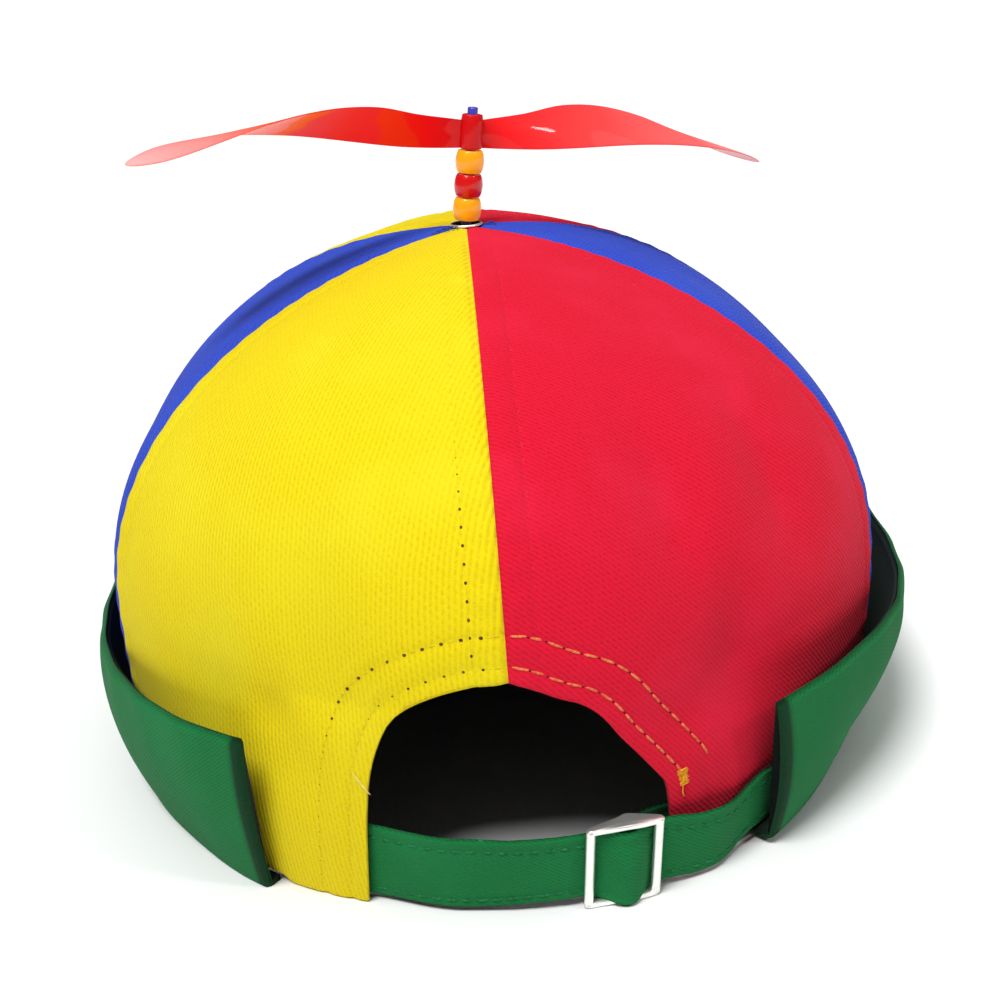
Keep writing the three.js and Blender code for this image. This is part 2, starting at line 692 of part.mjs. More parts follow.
function slideGeometry() {
  const bars = [
    slideBar(slideLeft, leftBarOut),
    slideBar(slideMiddle, middleBarOut),
    slideBar(slideRight, rightBarOut),
    slideEndPlate(slideFoot + slidePlate / 2),
    slideEndPlate(slideHeight - slidePlate / 2),
  ];
  return toGeometry(bars.map(toSolid).reduce((whole, part) => whole.add(part)));
}

// Eyelet, pin and beads, turned round the vertical

function turned(profile, sides) {
  const points = profile.map(([radius, height]) => new THREE.Vector2(radius, height));
  return new THREE.LatheGeometry(points, sides).rotateX(Math.PI / 2);
}

const eyeletBarrel = eyeletHoleRadius + eyeletWall;
const eyeletTop = gap + eyeletFlangeHeight;
const eyeletBottom = -clothThickness - gap - eyeletFlangeHeight;
const eyeletProfile = [
  [eyeletHoleRadius, eyeletBottom + eyeletRounding],
  [eyeletHoleRadius + eyeletRounding, eyeletBottom],
  [eyeletFlange, eyeletBottom],
  [eyeletFlange, eyeletBottom + eyeletFlangeHeight - gap],
  [eyeletBarrel, eyeletBottom + eyeletFlangeHeight - gap],
  [eyeletBarrel, gap],
  [eyeletFlange, gap],
  [eyeletFlange - eyeletRounding, eyeletTop - eyeletRounding],
  [(eyeletHoleRadius + eyeletFlange) / 2, eyeletTop],
  [eyeletHoleRadius + eyeletRounding / 2, eyeletTop - eyeletRounding],
  [eyeletHoleRadius, gap + eyeletRounding],
  [eyeletHoleRadius, eyeletBottom + eyeletRounding],
];

// Barrel bead with its bore: radius as a share of beadRadius, up as a share of beadHeight
const boreRadius = pinRadius + gap;
const beadOutline = [
  { radius: 0.92 * beadEndShare, up: 0 },
  { radius: beadEndShare, up: 0.04 },
  { radius: 0.96, up: 0.2 },
  { radius: 1, up: 0.42 },
  { radius: 1, up: 0.58 },
  { radius: 0.96, up: 0.8 },
  { radius: beadEndShare, up: 0.96 },
  { radius: 0.92 * beadEndShare, up: 1 },
];
function beadProfile(base) {
  const side = beadOutline.map(({ radius, up }) => [radius * beadRadius, base + up * beadHeight]);
  return [[boreRadius, base], ...side, [boreRadius, base + beadHeight], [boreRadius, base]];
}

const beadPitch = beadHeight + gap;
const beadBase = eyeletTop + beadLift;
const hubBase = beadBase + 3 * beadPitch;
const pinTop = hubBase + hubHeight + pinTip;
const pinHeadTop = eyeletBottom - gap;

function hubProfile() {
  return [
    [boreRadius, hubBase], [hubRadius - hubEdge, hubBase], [hubRadius, hubBase + hubEdge],
    [hubRadius, hubBase + hubShoulderHeight], [hubTopRadius, hubBase + hubHeight],
    [boreRadius, hubBase + hubHeight], [boreRadius, hubBase],
  ];
}

// One blade: a thin twisted leaf whose width, pitch and rise change from hub to tip
function bladeGeometry() {
  const sections = [];
  const steps = 22;
  const tipShare = bladeTipRounding / bladeReach;
  for (let i = 0; i <= steps; i += 1) {
    const out = lerp(bladeSections[0].out, 1, (i / steps) ** 0.9);
    const intoTip = Math.max(out - 1 + tipShare, 0) / tipShare;
    const rounding = Math.sqrt(1 - intoTip ** 2 * 0.985);
    const width = bladeWidth * smoothValue(bladeSections, 'out', 'width', out) * rounding;
    const pitch = radians(smoothValue(bladeSections, 'out', 'pitch', out));
    const rise = bladeDroop * smoothValue(bladeSections, 'out', 'rise', out);
    const upper = [];
    const lower = [];
    for (const share of [-1, -0.6, 0, 0.6, 1]) {
      const half = lerp(bladeThickness, bladeEdgeThickness, Math.abs(share)) / 2;
      const y = share * width / 2;
      const z = hubBase + bladeSeat + rise;
      upper.push(new THREE.Vector3(
        out * bladeReach,
        y * Math.cos(pitch) - half * Math.sin(pitch),
        z + y * Math.sin(pitch) + half * Math.cos(pitch),
      ));
      lower.unshift(new THREE.Vector3(
        out * bladeReach,
        y * Math.cos(pitch) + half * Math.sin(pitch),
        z + y * Math.sin(pitch) - half * Math.cos(pitch),
      ));
    }
    sections.push([...upper.reverse(), ...lower.reverse()]);
  }
  return sweptSolid(sections);
}

function propellerGeometry() {
  const hub = toSolid(turned(hubProfile(), 24));
  const right = toSolid(bladeGeometry());
  const left = toSolid(bladeGeometry().rotateZ(Math.PI));
  return toGeometry(hub.add(right).add(left)).rotateZ(radians(bladeHeading));
}

// Pin: a leaning shaft on a flat head that lies under the eyelet
function pinGeometry() {
  const length = pinTop - pinHeadTop + pinHeadHeight / 2;
  const shaft = new THREE.CylinderGeometry(pinRadius, pinRadius, length, 14).rotateX(Math.PI / 2);
  shaft.translate(0, 0, pinTop - length / 2).rotateY(radians(postLean));
  const head = new THREE.CylinderGeometry(pinHeadRadius, pinHeadRadius, pinHeadHeight, 24);
  head.rotateX(Math.PI / 2).translate(0, 0, pinHeadTop - pinHeadHeight / 2);
  return toGeometry(toSolid(shaft).add(toSolid(head)));
}

// The beanie, built round the middle of its crown
const beanie = new THREE.Group();
beanie.name = 'propeller_beanie';

const arch = toSolid(archPrism());
const panelNames = [
  ['panel_front_left', materials.yellow],
  ['panel_side_left', materials.blue],
  ['panel_back_left', materials.yellow],
  ['panel_back_right', materials.red],
  ['panel_side_right', materials.blue],
  ['panel_front_right', materials.red],
];
panelNames.forEach(([name, material], panel) => {
  const isBack = panel === 2 || panel === 3;
  const cloth = crownPanel(panel, isBack ? 16 : 12, isBack ? 18 : 16);
  const geometry = isBack ? toGeometry(toSolid(cloth).subtract(arch)) : cloth;
  addPiece(beanie, name, geometry, material);
});

addPiece(beanie, 'cuff', cuffGeometry(56), materials.green);
addPiece(beanie, 'strap', strapGeometry(), materials.green);
addPiece(beanie, 'strap_tab', tabGeometry(), materials.green);
addPiece(beanie, 'slide', slideGeometry(), materials.steel);

// Everything on the crown's top stands at the apex
const top = new THREE.Group();
top.position.set(apexShift, 0, crownHeight);
beanie.add(top);
addPiece(top, 'eyelet', turned(eyeletProfile, 20), materials.steel);
addPiece(top, 'pin', pinGeometry(), materials.bluePlastic);

// Beads and propeller lean with the pin
const post = new THREE.Group();
post.rotation.y = radians(postLean);
top.add(post);
const beads = [
  ['bead_bottom', materials.orangePlastic],
  ['bead_middle', materials.redPlastic],
  ['bead_top', materials.orangePlastic],
];
beads.forEach(([name, material], i) => {
  addPiece(post, name, turned(beadProfile(beadBase + i * beadPitch), 16), material);
});
addPiece(post, 'propeller', propellerGeometry(), materials.redPlastic);

// The origin is under the middle of the whole beanie
const extent = new THREE.Box3().setFromObject(beanie, true);
const middle = extent.getCenter(new THREE.Vector3());
beanie.position.set(-middle.x, -middle.y, 0);

export default beanie;
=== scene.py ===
"""Looks of the propeller beanie: twill crown, turned-up cuff, strap with slide, beads and propeller."""

import math

import bpy
import numpy as np
from mathutils import Matrix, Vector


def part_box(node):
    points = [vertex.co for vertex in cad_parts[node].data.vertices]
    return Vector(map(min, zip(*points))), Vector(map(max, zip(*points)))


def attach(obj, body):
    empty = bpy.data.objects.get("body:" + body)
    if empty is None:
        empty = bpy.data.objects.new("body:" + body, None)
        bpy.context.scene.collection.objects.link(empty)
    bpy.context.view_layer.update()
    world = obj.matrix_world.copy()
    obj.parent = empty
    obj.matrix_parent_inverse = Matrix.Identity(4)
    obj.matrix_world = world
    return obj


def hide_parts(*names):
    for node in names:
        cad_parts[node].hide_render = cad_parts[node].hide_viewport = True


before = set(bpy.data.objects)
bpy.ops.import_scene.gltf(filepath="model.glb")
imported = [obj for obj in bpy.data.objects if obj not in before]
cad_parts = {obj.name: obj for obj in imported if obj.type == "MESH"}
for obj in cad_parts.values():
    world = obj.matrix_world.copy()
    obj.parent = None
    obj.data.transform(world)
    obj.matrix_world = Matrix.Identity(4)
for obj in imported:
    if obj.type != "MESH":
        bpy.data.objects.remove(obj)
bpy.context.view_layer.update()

MM = 0.001

# Sizes of the crown, in millimetres, as the solid model has them
RIM_HALF_WIDTH = 84.2
RIM_HALF_LENGTH = 98.6
SIDE_BULGE = 4.6
END_BULGE = 7.4
WIDEST_HEIGHT = 46.0
CROWN_HEIGHT = 117.0
CLOTH = 1.4
DENT_DEPTH = 2.4
APEX_SHIFT = -0.5
RIM_SHIFT = -2.2
RIM_SETBACK = 1.0
RIM_TUCK = 0.045
RIM_SQUARENESS = 2.17
WIDEST_SQUARENESS = 2.32
FRONT_SQUARENESS = 2.1
SIDE_TAPER = 1.23
END_TAPER = 0.84
DOME_FULLNESS = 0.868
TOP_FLATNESS = 0.46
WIDEST_FLATNESS = 0.28
RIM_FLATNESS = 0.08
BACK_SEAM = 68.0
FRONT_SEAM = 120.0
CLIMB_EASING = 0.92
LIFT_FADE = 4
GAP = 0.3

# Back arch, cuff and strap
ARCH_LEFT = 30.8
ARCH_RIGHT = 30.6
ARCH_HEIGHT = 51.7
CUFF_HEIGHT = 37.0
CUFF_THICKNESS = 2.2
CUFF_FLARE = 5.2
CUFF_FOOT_FLARE = 2.0
CUFF_FOOT_LIFT = 6.5
CUFF_BELLY = 2.0
FOLD = 1.3
CUFF_RIGHT_END = 35.6
CUFF_LEFT_END = 327.0
HEM_STEP = 0.6
HEM_LIFT = 2.6
HEM_LIFT_TURN = 20.0
CUFF_RIGHT_LEAN = 5.0
CUFF_LEFT_LEAN = 1.8
STRAP_HEIGHT = 18.2
STRAP_THICKNESS = 1.2
STRAP_RISE = 0.9
STRAP_LEFT = 43.0
STRAP_RIGHT = 70.0
STAND_OFF = 3.0
STRAP_END_OFF = 0.25
TAB_THICKNESS = 1.0
TAB_REACH = 52.0
SEAT_GAP = 0.5
SLIDE_WIDTH = 14.6
BAR_RADIUS = 0.85
PLATE = 1.2
SLIDE_ALONG = 21.4
SLIDE_SWING = 0.8
BAR_SETBACK = 2.8
BAR_SHIFT = 1.0
SLIDE_FOOT = 0.25
SLIDE_HEADROOM = 0.3
ARCH_MARGIN = 10.4

# Post and propeller
HOLE_RADIUS = 3.0
EYELET_WALL = 0.4
FLANGE = 4.0
FLANGE_HEIGHT = 0.6
POST_LEAN = 7.4
PIN_RADIUS = 1.2
PIN_TIP = 1.6
BEAD_RADIUS = 3.3
BEAD_HEIGHT = 5.15
BEAD_LIFT = 0.4
BEAD_END = 0.86
HUB_RADIUS = 2.55
HUB_HEIGHT = 7.8
HUB_SHOULDER = 6.6
HUB_TOP_RADIUS = 2.3
BLADE_REACH = 79.0
BLADE_WIDTH = 15.2
BLADE_THICKNESS = 0.9
BLADE_SEAT = 3.3
BLADE_DROOP = 6.9
BLADE_HEADING = 22.5

SEAMS = np.array([-180.0, -FRONT_SEAM, -BACK_SEAM, 0.0, BACK_SEAM, FRONT_SEAM, 180.0])

# turn, level, depth, spread along turn, spread along level
DENTS = np.array([
    (21, 0.3, 0.8, 9, 0.16), (43, 0.2, 0.9, 8, 0.14), (31, -0.12, 1, 9, 0.2), (12, 0.05, -0.35, 8, 0.25),
    (-24, 0.1, 0.9, 8, 0.18), (-41, -0.05, 0.7, 9, 0.22), (-32, 0.42, -0.4, 14, 0.2),
    (92, 0.35, 0.3, 12, 0.2), (140, 0.25, 0.8, 12, 0.18), (-86, 0.3, 0.35, 12, 0.18),
    (-150, 0.38, 0.7, 14, 0.2),
])

# Places where the rim is tucked in: turn, spread, depth
RIM_TUCKS = np.array([(58, 16, 1), (-50, 13, 0.45)])

# Arch outline: across as a share of the reach on its side, up as a share of the height
ARCH = np.array([
    (-1, 0), (-0.95, 0.4), (-0.9, 0.6), (-0.81, 0.76), (-0.7, 0.86), (-0.5, 0.935), (-0.25, 0.985), (0, 1),
    (0.1, 0.98), (0.21, 0.945), (0.33, 0.91), (0.45, 0.877), (0.56, 0.815), (0.67, 0.715), (0.79, 0.615),
    (0.91, 0.51), (0.955, 0.46), (0.975, 0.36), (1, 0.15), (1, 0),
])

# way round, height, flare, belly, foot, lift
CUFF = np.array([
    (0, 1.04, 0.3, 0, 0, 0.23), (0.05, 1.07, 0.45, 0.4, 0, 0.72), (0.11, 1.02, 0.85, 1.2, 0, 1),
    (0.19, 1, 1.1, 1.6, 0, 0.6), (0.28, 1.04, 1.15, 1.1, 0, 0), (0.39, 1.06, 0.7, 0.3, 0.4, 0),
    (0.51, 1.04, 0.6, 0.3, 0.2, 0), (0.64, 1.05, 0.65, 0.5, 0.4, 0), (0.74, 0.99, 0.7, 1.2, 0.1, 0),
    (0.83, 0.97, 0.5, 1.5, 0, 0), (0.91, 1.02, 0.3, 0.7, 0, 0), (1, 1.055, 0.15, 0, 0, 0),
])

# reach, lift of the lower edge, cut of the upper edge
STRAP_EDGES = np.array([
    (-1, 0, 0), (-0.7, 0, 0), (-0.2, 0, 0.02), (0.17, 0.045, 0.05), (0.43, 0.045, 0.06), (0.55, 0, 0.14),
    (0.67, 0, 0.17), (0.78, 0.14, 0.02), (1, 0.38, 0),
])

# Distance of the topstitching from the seams, and of the two rows round the arch from its edge
SEAM_ROW = 6.3
ARCH_ROWS = (3.5, 9.5)
RED_ROWS_END = 23.5

# Soft shallow dents between the main ones: turn, level, depth in millimetres, spread along turn and level
SOFT_DENTS = np.array([
    (17, -0.22, 1.1, 6, 0.16), (24, -0.55, 0.7, 6, 0.16), (44, 0.28, 0.6, 4, 0.14), (-28, -0.3, 1.0, 6, 0.2),
    (-17, -0.06, 0.6, 8, 0.12), (24, 0.22, 1.7, 5, 0.13), (31, 0.03, 1.6, 5, 0.13), (-31, -0.1, 1.4, 4, 0.12),
])

# Loose blue threads at the eyelet: turn and radius where they start, turn and radius where they end, curl
FRAY = np.array([
    (-70, 4.7, -58, 8.6, 0.5), (-63, 4.8, -40, 7.2, 0.8), (-74, 4.9, -66, 9.8, 0.3),
    (-52, 4.6, -30, 6.4, 0.6), (-66, 5.1, -47, 9, 0.9), (96, 4.6, 84, 6.9, 0.4),
    (82, 4.6, 100, 6.6, 0.6),
])

# out, width, pitch, rise
BLADE = np.array([
    (0.024, 0.41, 87, 0), (0.175, 0.56, 66, 0.09), (0.325, 0.81, 46, 0.27), (0.475, 0.96, 30, 0.3),
    (0.625, 1, 17, 0.13), (0.76, 0.95, 5, -0.2), (0.89, 0.8, -4, -0.6), (1, 0.52, -6, -0.97),
])

eyelet_low, eyelet_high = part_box("eyelet")
SHIFT = np.array([
    (eyelet_low.x + eyelet_high.x) / 2 / MM - APEX_SHIFT,
    (eyelet_low.y + eyelet_high.y) / 2 / MM,
    0.0,
])

UP = np.array([0, 0, 1])
LEVEL_ONLY = np.array([1, 1, 0])

# Share of a panel's climb, and of the cuff's way round, that its rounded edge takes
PANEL_LIP = 0.0045
CUFF_LIP = 0.0022

# Steps of the cuff round the rim, and its length round in millimetres for its waves and for its cloth
CUFF_STEPS = 520
CUFF_WAVE_RUN = 520
CUFF_CLOTH_RUN = 545


# Numbers and curves

def smooth(value, low, high):
    """Share from 0 at low to 1 at high, eased at both ends."""
    share = np.clip((value - low) / (high - low), 0, 1)
    return share * share * (3 - 2 * share)


def unit(vectors):
    """Each vector divided by its length."""
    return vectors / np.maximum(np.linalg.norm(vectors, axis=-1, keepdims=True), 1e-12)


def rounded(table, column, place):
    """One column of a table on a rounded curve through its rows (a cubic with the rows' mean slopes)."""
    x, y = table[:, 0], table[:, column]
    before, after = np.r_[0, np.arange(len(x) - 1)], np.r_[np.arange(1, len(x)), len(x) - 1]
    slope = (y[after] - y[before]) / (x[after] - x[before])
    i = np.clip(np.searchsorted(x, place, side="left"), 1, len(x) - 1)
    width = x[i] - x[i - 1]
    t = np.clip((place - x[i - 1]) / width, 0, 1)
    return (
        (2 * t**3 - 3 * t**2 + 1) * y[i - 1] + (t**3 - 2 * t**2 + t) * width * slope[i - 1]
        + (3 * t**2 - 2 * t**3) * y[i] + (t**3 - t**2) * width * slope[i]
    )


def eased(table, column, place):
    """One column of a table, eased from row to row."""
    x, y = table[:, 0], table[:, column]
    i = np.clip(np.searchsorted(x, place, side="left"), 1, len(x) - 1)
    share = smooth(place, x[i - 1], x[i])
    return y[i - 1] + (y[i] - y[i - 1]) * share


def through(points, count):
    """Rounded line through points (a Catmull-Rom curve), spread evenly along its length."""
    padded = np.vstack([2 * points[0] - points[1], points, 2 * points[-1] - points[-2]])
    t = np.linspace(0, len(points) - 1 - 1e-9, 40 * len(points))
    i, f = t.astype(int), (t % 1)[:, None]
    a, b, c, d = padded[i], padded[i + 1], padded[i + 2], padded[i + 3]
    line = 0.5 * (2 * b + (c - a) * f + (2 * a - 5 * b + 4 * c - d) * f**2 + (3 * b - a - 3 * c + d) * f**3)
    return along_line(line, count)


def lengths(line):
    """Length along a line of points up to each of them."""
    return np.r_[0, np.cumsum(np.linalg.norm(np.diff(line, axis=0), axis=1))]


def along_line(line, count):
    """The same line with count points, evenly spaced along it."""
    run = lengths(line)
    places = np.linspace(0, run[-1], count)
    return np.stack([np.interp(places, run, line[:, k]) for k in range(line.shape[1])], axis=1)


def ripple(a, b, seed):
    """Soft unevenness from -1 to 1: a sum of five sine waves in different directions, over two lengths."""
    random = np.random.default_rng(seed)
    total = 0
    for _ in range(5):
        heading, phase = random.uniform(0, 2 * math.pi, 2)
        wave = random.uniform(0.6, 1.6)
        total = total + np.sin(wave * (a * math.cos(heading) + b * math.sin(heading)) + phase)
    return total / 5


# The crown

def turn_between(turn, middle):
    """Turn from a middle, brought to between -180 and 180."""
    return (turn - middle + 180) % 360 - 180


def tuck_at(turn):
    """How far the rim is tucked in at a turn: a sum of bell curves."""
    return sum(depth * np.exp(-((turn_between(turn, at) / spread) ** 2)) for at, spread, depth in RIM_TUCKS)


def oval_point(turn, level):
    """Smooth crown before its panels are pulled flat: a squarish oval whose half-axes shrink by a power of
    the climb's cosine above the widest level and by a parabola below it, and which is tucked in at places of
    its rim."""
    angle = np.radians(turn)
    across, along = np.sin(angle), np.cos(angle)
    below = np.maximum(-level, 0)
    climb = np.radians(90 * np.maximum(level, 0))
    taper = SIDE_TAPER * across**2 + END_TAPER * along**2
    shrink = np.abs(np.cos(climb)) ** taper
    tuck = RIM_TUCK * below**3 * tuck_at(turn)
    half_width = (RIM_HALF_WIDTH + SIDE_BULGE * (1 - below**2)) * shrink * (1 - tuck)
    half_length = (RIM_HALF_LENGTH + END_BULGE * (1 - below**2)) * shrink * (1 - tuck)
    rear = WIDEST_SQUARENESS + (RIM_SQUARENESS - WIDEST_SQUARENESS) * below**2
    power = 2 / np.where(along > 0, rear, FRONT_SQUARENESS)
    height = np.where(
        level < 0,
        WIDEST_HEIGHT * (1 + level),
        WIDEST_HEIGHT + (CROWN_HEIGHT - WIDEST_HEIGHT) * np.sin(climb) ** DOME_FULLNESS,
    )
    shift = APEX_SHIFT * (height / CROWN_HEIGHT) ** 2 + RIM_SHIFT * below**2
    return np.stack([
        half_width * np.sign(across) * np.abs(across) ** power + shift,
        -half_length * np.sign(along) * np.abs(along) ** power - RIM_SETBACK * below**2,
        height,
    ], axis=-1)


def oval_normal(turn, level):
    """Outward direction of the smooth crown: the cross product of its two slopes."""
    step = 0.02
    around = oval_point(turn + 60 * step, level) - oval_point(turn - 60 * step, level)
    up = oval_point(turn, np.minimum(level + step, 0.998)) - oval_point(turn, level - step)
    return unit(np.cross(around, up))


def flatness(level):
    """How far a panel is pulled to the straight line between its seams at a level."""
    low = WIDEST_FLATNESS + (RIM_FLATNESS - WIDEST_FLATNESS) * np.maximum(-level, 0)
    high = WIDEST_FLATNESS + (TOP_FLATNESS - WIDEST_FLATNESS) * np.maximum(level, 0) ** 2
    return np.where(level < 0, low, high)


def crown_point(turn, level, panel):
    """Outer face of a panel: the oval pulled part of the way to the straight line between its seams, then
    pushed in by dents that fade as a bell curve."""
    start, end = SEAMS[panel], SEAMS[panel + 1]
    share = ((turn - start) / (end - start))[..., None]
    straight = oval_point(start + 0 * turn, level) * (1 - share) + oval_point(end + 0 * turn, level) * share
    pull = flatness(level)[..., None]
    point = oval_point(turn, level) * (1 - pull) + straight * pull
    dent = 0
    for at_turn, at_level, depth, turn_spread, level_spread in DENTS:
        away = turn_between(turn, at_turn) / turn_spread
        dent = dent + depth * DENT_DEPTH * np.exp(-(away**2) - ((level - at_level) / level_spread) ** 2)
    return point - oval_normal(turn, level) * dent[..., None]


def panel_width(level, panel):
    """Straight distance between a panel's seams at a level."""
    start, end = SEAMS[panel] + 0 * level, SEAMS[panel + 1] + 0 * level
    return np.linalg.norm(oval_point(start, level) - oval_point(end, level), axis=-1)


def climb_length(level, panel):
    """Length up the middle of a panel from the rim to a level, from a table of short steps."""
    steps = np.linspace(-1, 0.9999, 400)
    middle = (SEAMS[panel] + SEAMS[panel + 1]) / 2
    return np.interp(level, steps, lengths(oval_point(middle + 0 * steps, steps)))


def level_at_radius(turn, radius):
    """Level where the crown comes in to a hole of this radius round the top, by halving."""
    low, high = 0.5 + 0 * turn, 0.9999 + 0 * turn
    for _ in range(30):
        middle = (low + high) / 2
        point = oval_point(turn, middle)
        outside = np.hypot(point[..., 0] - APEX_SHIFT, point[..., 1]) > radius
        low, high = np.where(outside, middle, low), np.where(outside, high, middle)
    return low


def place(across, up, panel):
    """Turn and level of the back panel's point that lies so far across and up, by Newton's steps."""
    turn = np.degrees(np.arcsin(np.clip(across / RIM_HALF_WIDTH, -0.95, 0.95))) * 0.8
    level = up / WIDEST_HEIGHT - 1
    level = np.where(level > 0, level * 0.5, level)
    for _ in range(14):
        here = crown_point(turn, level, panel)
        by_turn = (crown_point(turn + 0.05, level, panel) - here) / 0.05
        by_level = (crown_point(turn, level + 0.002, panel) - here) / 0.002
        off_x, off_z = across - here[..., 0], up - here[..., 2]
        size = by_turn[..., 0] * by_level[..., 2] - by_turn[..., 2] * by_level[..., 0]
        size = np.where(np.abs(size) < 1e-6, 1e-6, size)
        turn = turn + np.clip((off_x * by_level[..., 2] - off_z * by_level[..., 0]) / size, -6, 6)
        level = level + np.clip((off_z * by_turn[..., 0] - off_x * by_turn[..., 2]) / size, -0.2, 0.2)
        level = np.clip(level, -1.05, 0.98)
    return turn, level


def foot_lift(way):
    """How far the foot of the cuff is lifted at one share of its way round."""
    return CUFF_FOOT_LIFT * np.maximum(rounded(CUFF, 5, np.clip(way, 0, 1)), 0)


def rim_lift(turn):
    """How far a panel's lower edge is lifted: by the fold of the cuff under it, and behind the strap towards
    the cuff's right end."""
    around = np.mod(turn, 360)
    inside = np.minimum(around - CUFF_RIGHT_END, CUFF_LEFT_END - around)
    way = (around - CUFF_RIGHT_END) / (CUFF_LEFT_END - CUFF_RIGHT_END)
    covered = smooth(inside, -4 * HEM_STEP, -HEM_STEP)
    behind_strap = HEM_LIFT * smooth(around, HEM_LIFT_TURN, CUFF_RIGHT_END) * (around < 180)
    return behind_strap + (foot_lift(way) + FOLD + GAP - behind_strap) * covered


def arch_line(side, count):
    """Edge of the arch on one side, from its top middle down to the hem, as across and up."""
    reach = np.where(ARCH[:, 0] < 0, ARCH_LEFT, ARCH_RIGHT)
    points = np.stack([ARCH[:, 0] * reach, ARCH[:, 1] * ARCH_HEIGHT], axis=1)
    half = points[points[:, 0] * side >= 0]
    half = half if side > 0 else half[::-1]
    curve = through(half[:-1], count)
    return np.vstack([curve, along_line(half[-2:], count // 4)[1:]])


# Meshes

def put_mesh(name, points, faces, finish, node=None, body="hat", values=None):
    """Object from points in millimetres round the crown's middle and rows of corner numbers. Values are
    numbers or vectors at the points, kept as attributes for the finish."""
    mesh = bpy.data.meshes.new(name)
    placed = (points + SHIFT) * MM
    mesh.from_pydata(placed.tolist(), [], faces if isinstance(faces, list) else faces.tolist())
    for key, array in (values or {}).items():
        kind = "FLOAT" if array.ndim == 1 else "FLOAT_VECTOR"
        attribute = mesh.attributes.new(key, kind, "POINT")
        attribute.data.foreach_set("value" if kind == "FLOAT" else "vector", array.astype(np.float32).ravel())
    mesh.polygons.foreach_set("use_smooth", np.ones(len(mesh.polygons), bool))
    mesh.materials.append(finish)
    mesh.validate()
    piece = bpy.data.objects.new(name, mesh)
    bpy.context.scene.collection.objects.link(piece)
    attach(piece, body)
    if node:
        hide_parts(node)
    return piece


def grid_faces(rows, columns, round_rows=False, round_columns=False):
    """Corner numbers of the squares of a grid of points, which may close on itself each way."""
    i = np.arange(rows if round_rows else rows - 1)[:, None]
    j = np.arange(columns if round_columns else columns - 1)[None, :]
    after_i, after_j = (i + 1) % rows, (j + 1) % columns
    return np.stack([
        i * columns + j, i * columns + after_j, after_i * columns + after_j, after_i * columns + j,
    ], axis=-1).reshape(-1, 4)


def ring_sweep(grid):
    """Corner numbers of a ring swept from row to row, with the two end rings closed by one face each."""
    rows, columns = grid.shape[:2]
    faces = grid_faces(rows, columns, round_columns=True).tolist()
    faces.append(list(range(columns))[::-1])
    faces.append([(rows - 1) * columns + k for k in range(columns)])
    return faces


def wall_faces(rows, outer, inner_columns):
    """Corner numbers of a wall whose outer face has every column and whose inner face has some of them, run
    back the other way. Its two ends are closed by thin strips of triangles between the two faces."""
    inner = len(inner_columns)
    ring = outer + inner
    faces = grid_faces(rows, ring, round_columns=True).tolist()
    across = np.arange(outer - 1)
    beside = np.searchsorted(inner_columns, across, side="right") - 1
    step = np.arange(inner - 1)
    strip = np.concatenate([
        np.stack([across + 1, across, ring - 1 - beside], axis=1),
        np.stack([inner_columns[step + 1], ring - 1 - step, ring - 2 - step], axis=1),
    ])
    return faces + strip.tolist() + (strip[:, ::-1] + (rows - 1) * ring).tolist()


def lathe(profile, sides=64):
    """Points and faces of a closed outline of radius and height turned round the vertical."""
    angle = np.linspace(0, 2 * math.pi, sides, endpoint=False)
    radius, height = profile[:, 0][:, None], profile[:, 1][:, None]
    grid = np.stack([radius * np.cos(angle), radius * np.sin(angle), height + 0 * angle], axis=-1)
    return grid.reshape(-1, 3), grid_faces(len(profile), sides, round_rows=True, round_columns=True)


def as_triangles(grid):
    """Points and faces of a swept ring with its two ends closed by fans round their middles."""
    rows, columns = grid.shape[:2]
    points = np.concatenate([grid.reshape(-1, 3), grid[:1].mean(axis=1), grid[-1:].mean(axis=1)])
    quads = grid_faces(rows, columns, round_columns=True)
    j = np.arange(columns)
    after = (j + 1) % columns
    low, high = rows * columns, rows * columns + 1
    bottom = np.stack([j * 0 + low, after, j, j * 0 + low], axis=1)
    last = (rows - 1) * columns
    top = np.stack([j * 0 + high, last + j, last + after, j * 0 + high], axis=1)
    return points, np.concatenate([quads, bottom, top])


def clean_faces(faces):
    """Faces as lists, with a corner that is given twice written once."""
    return [list(dict.fromkeys(face)) for face in faces.tolist()]


def instances(centres, along, out, template, template_faces, sizes):
    """One small form copied to many places: each point is the centre plus the form's three numbers times the
    along, side and out directions there."""
    side = unit(np.cross(out, along))
    local = template[None] * sizes[:, None, :]
    points = (
        centres[:, None] + local[..., :1] * along[:, None] + local[..., 1:2] * side[:, None]
        + local[..., 2:] * out[:, None]
    )
    step = len(template)
    faces = (template_faces[None] + step * np.arange(len(centres))[:, None, None]).reshape(-1, 4)
    return points.reshape(-1, 3), faces


def spindle(sections=7, sides=8):
    """Small stitch form along the first direction, one long and one wide: a round section whose radius falls
    as an ellipse to both ends, and whose middle line arches up like thread pulled into cloth."""
    x = np.sin(np.linspace(-math.pi / 2, math.pi / 2, sections))
    angle = np.linspace(0, 2 * math.pi, sides, endpoint=False)
    radius = np.maximum(np.sqrt(np.clip(1 - np.abs(x) ** 3.2, 0, 1)), 0.05)[:, None]
    grid = np.stack([
        x[:, None] + 0 * angle,
        radius * np.cos(angle),
        radius * np.sin(angle) * 0.8 + 0.75 * (1 - x[:, None] ** 2) - 0.55,
    ], axis=-1)
    return grid.reshape(-1, 3), grid_faces(sections, sides, round_columns=True)


# Finishes

DYE_STRENGTH = 0.74


def linear(red, green, blue):
    """Colour that looks like this on a screen, from 0 to 255, under the studio's light."""
    share = np.array([red, green, blue]) / 255
    light = np.where(share <= 0.04045, share / 12.92, ((share + 0.055) / 1.055) ** 2.4) * DYE_STRENGTH
    return (*light.tolist(), 1.0)


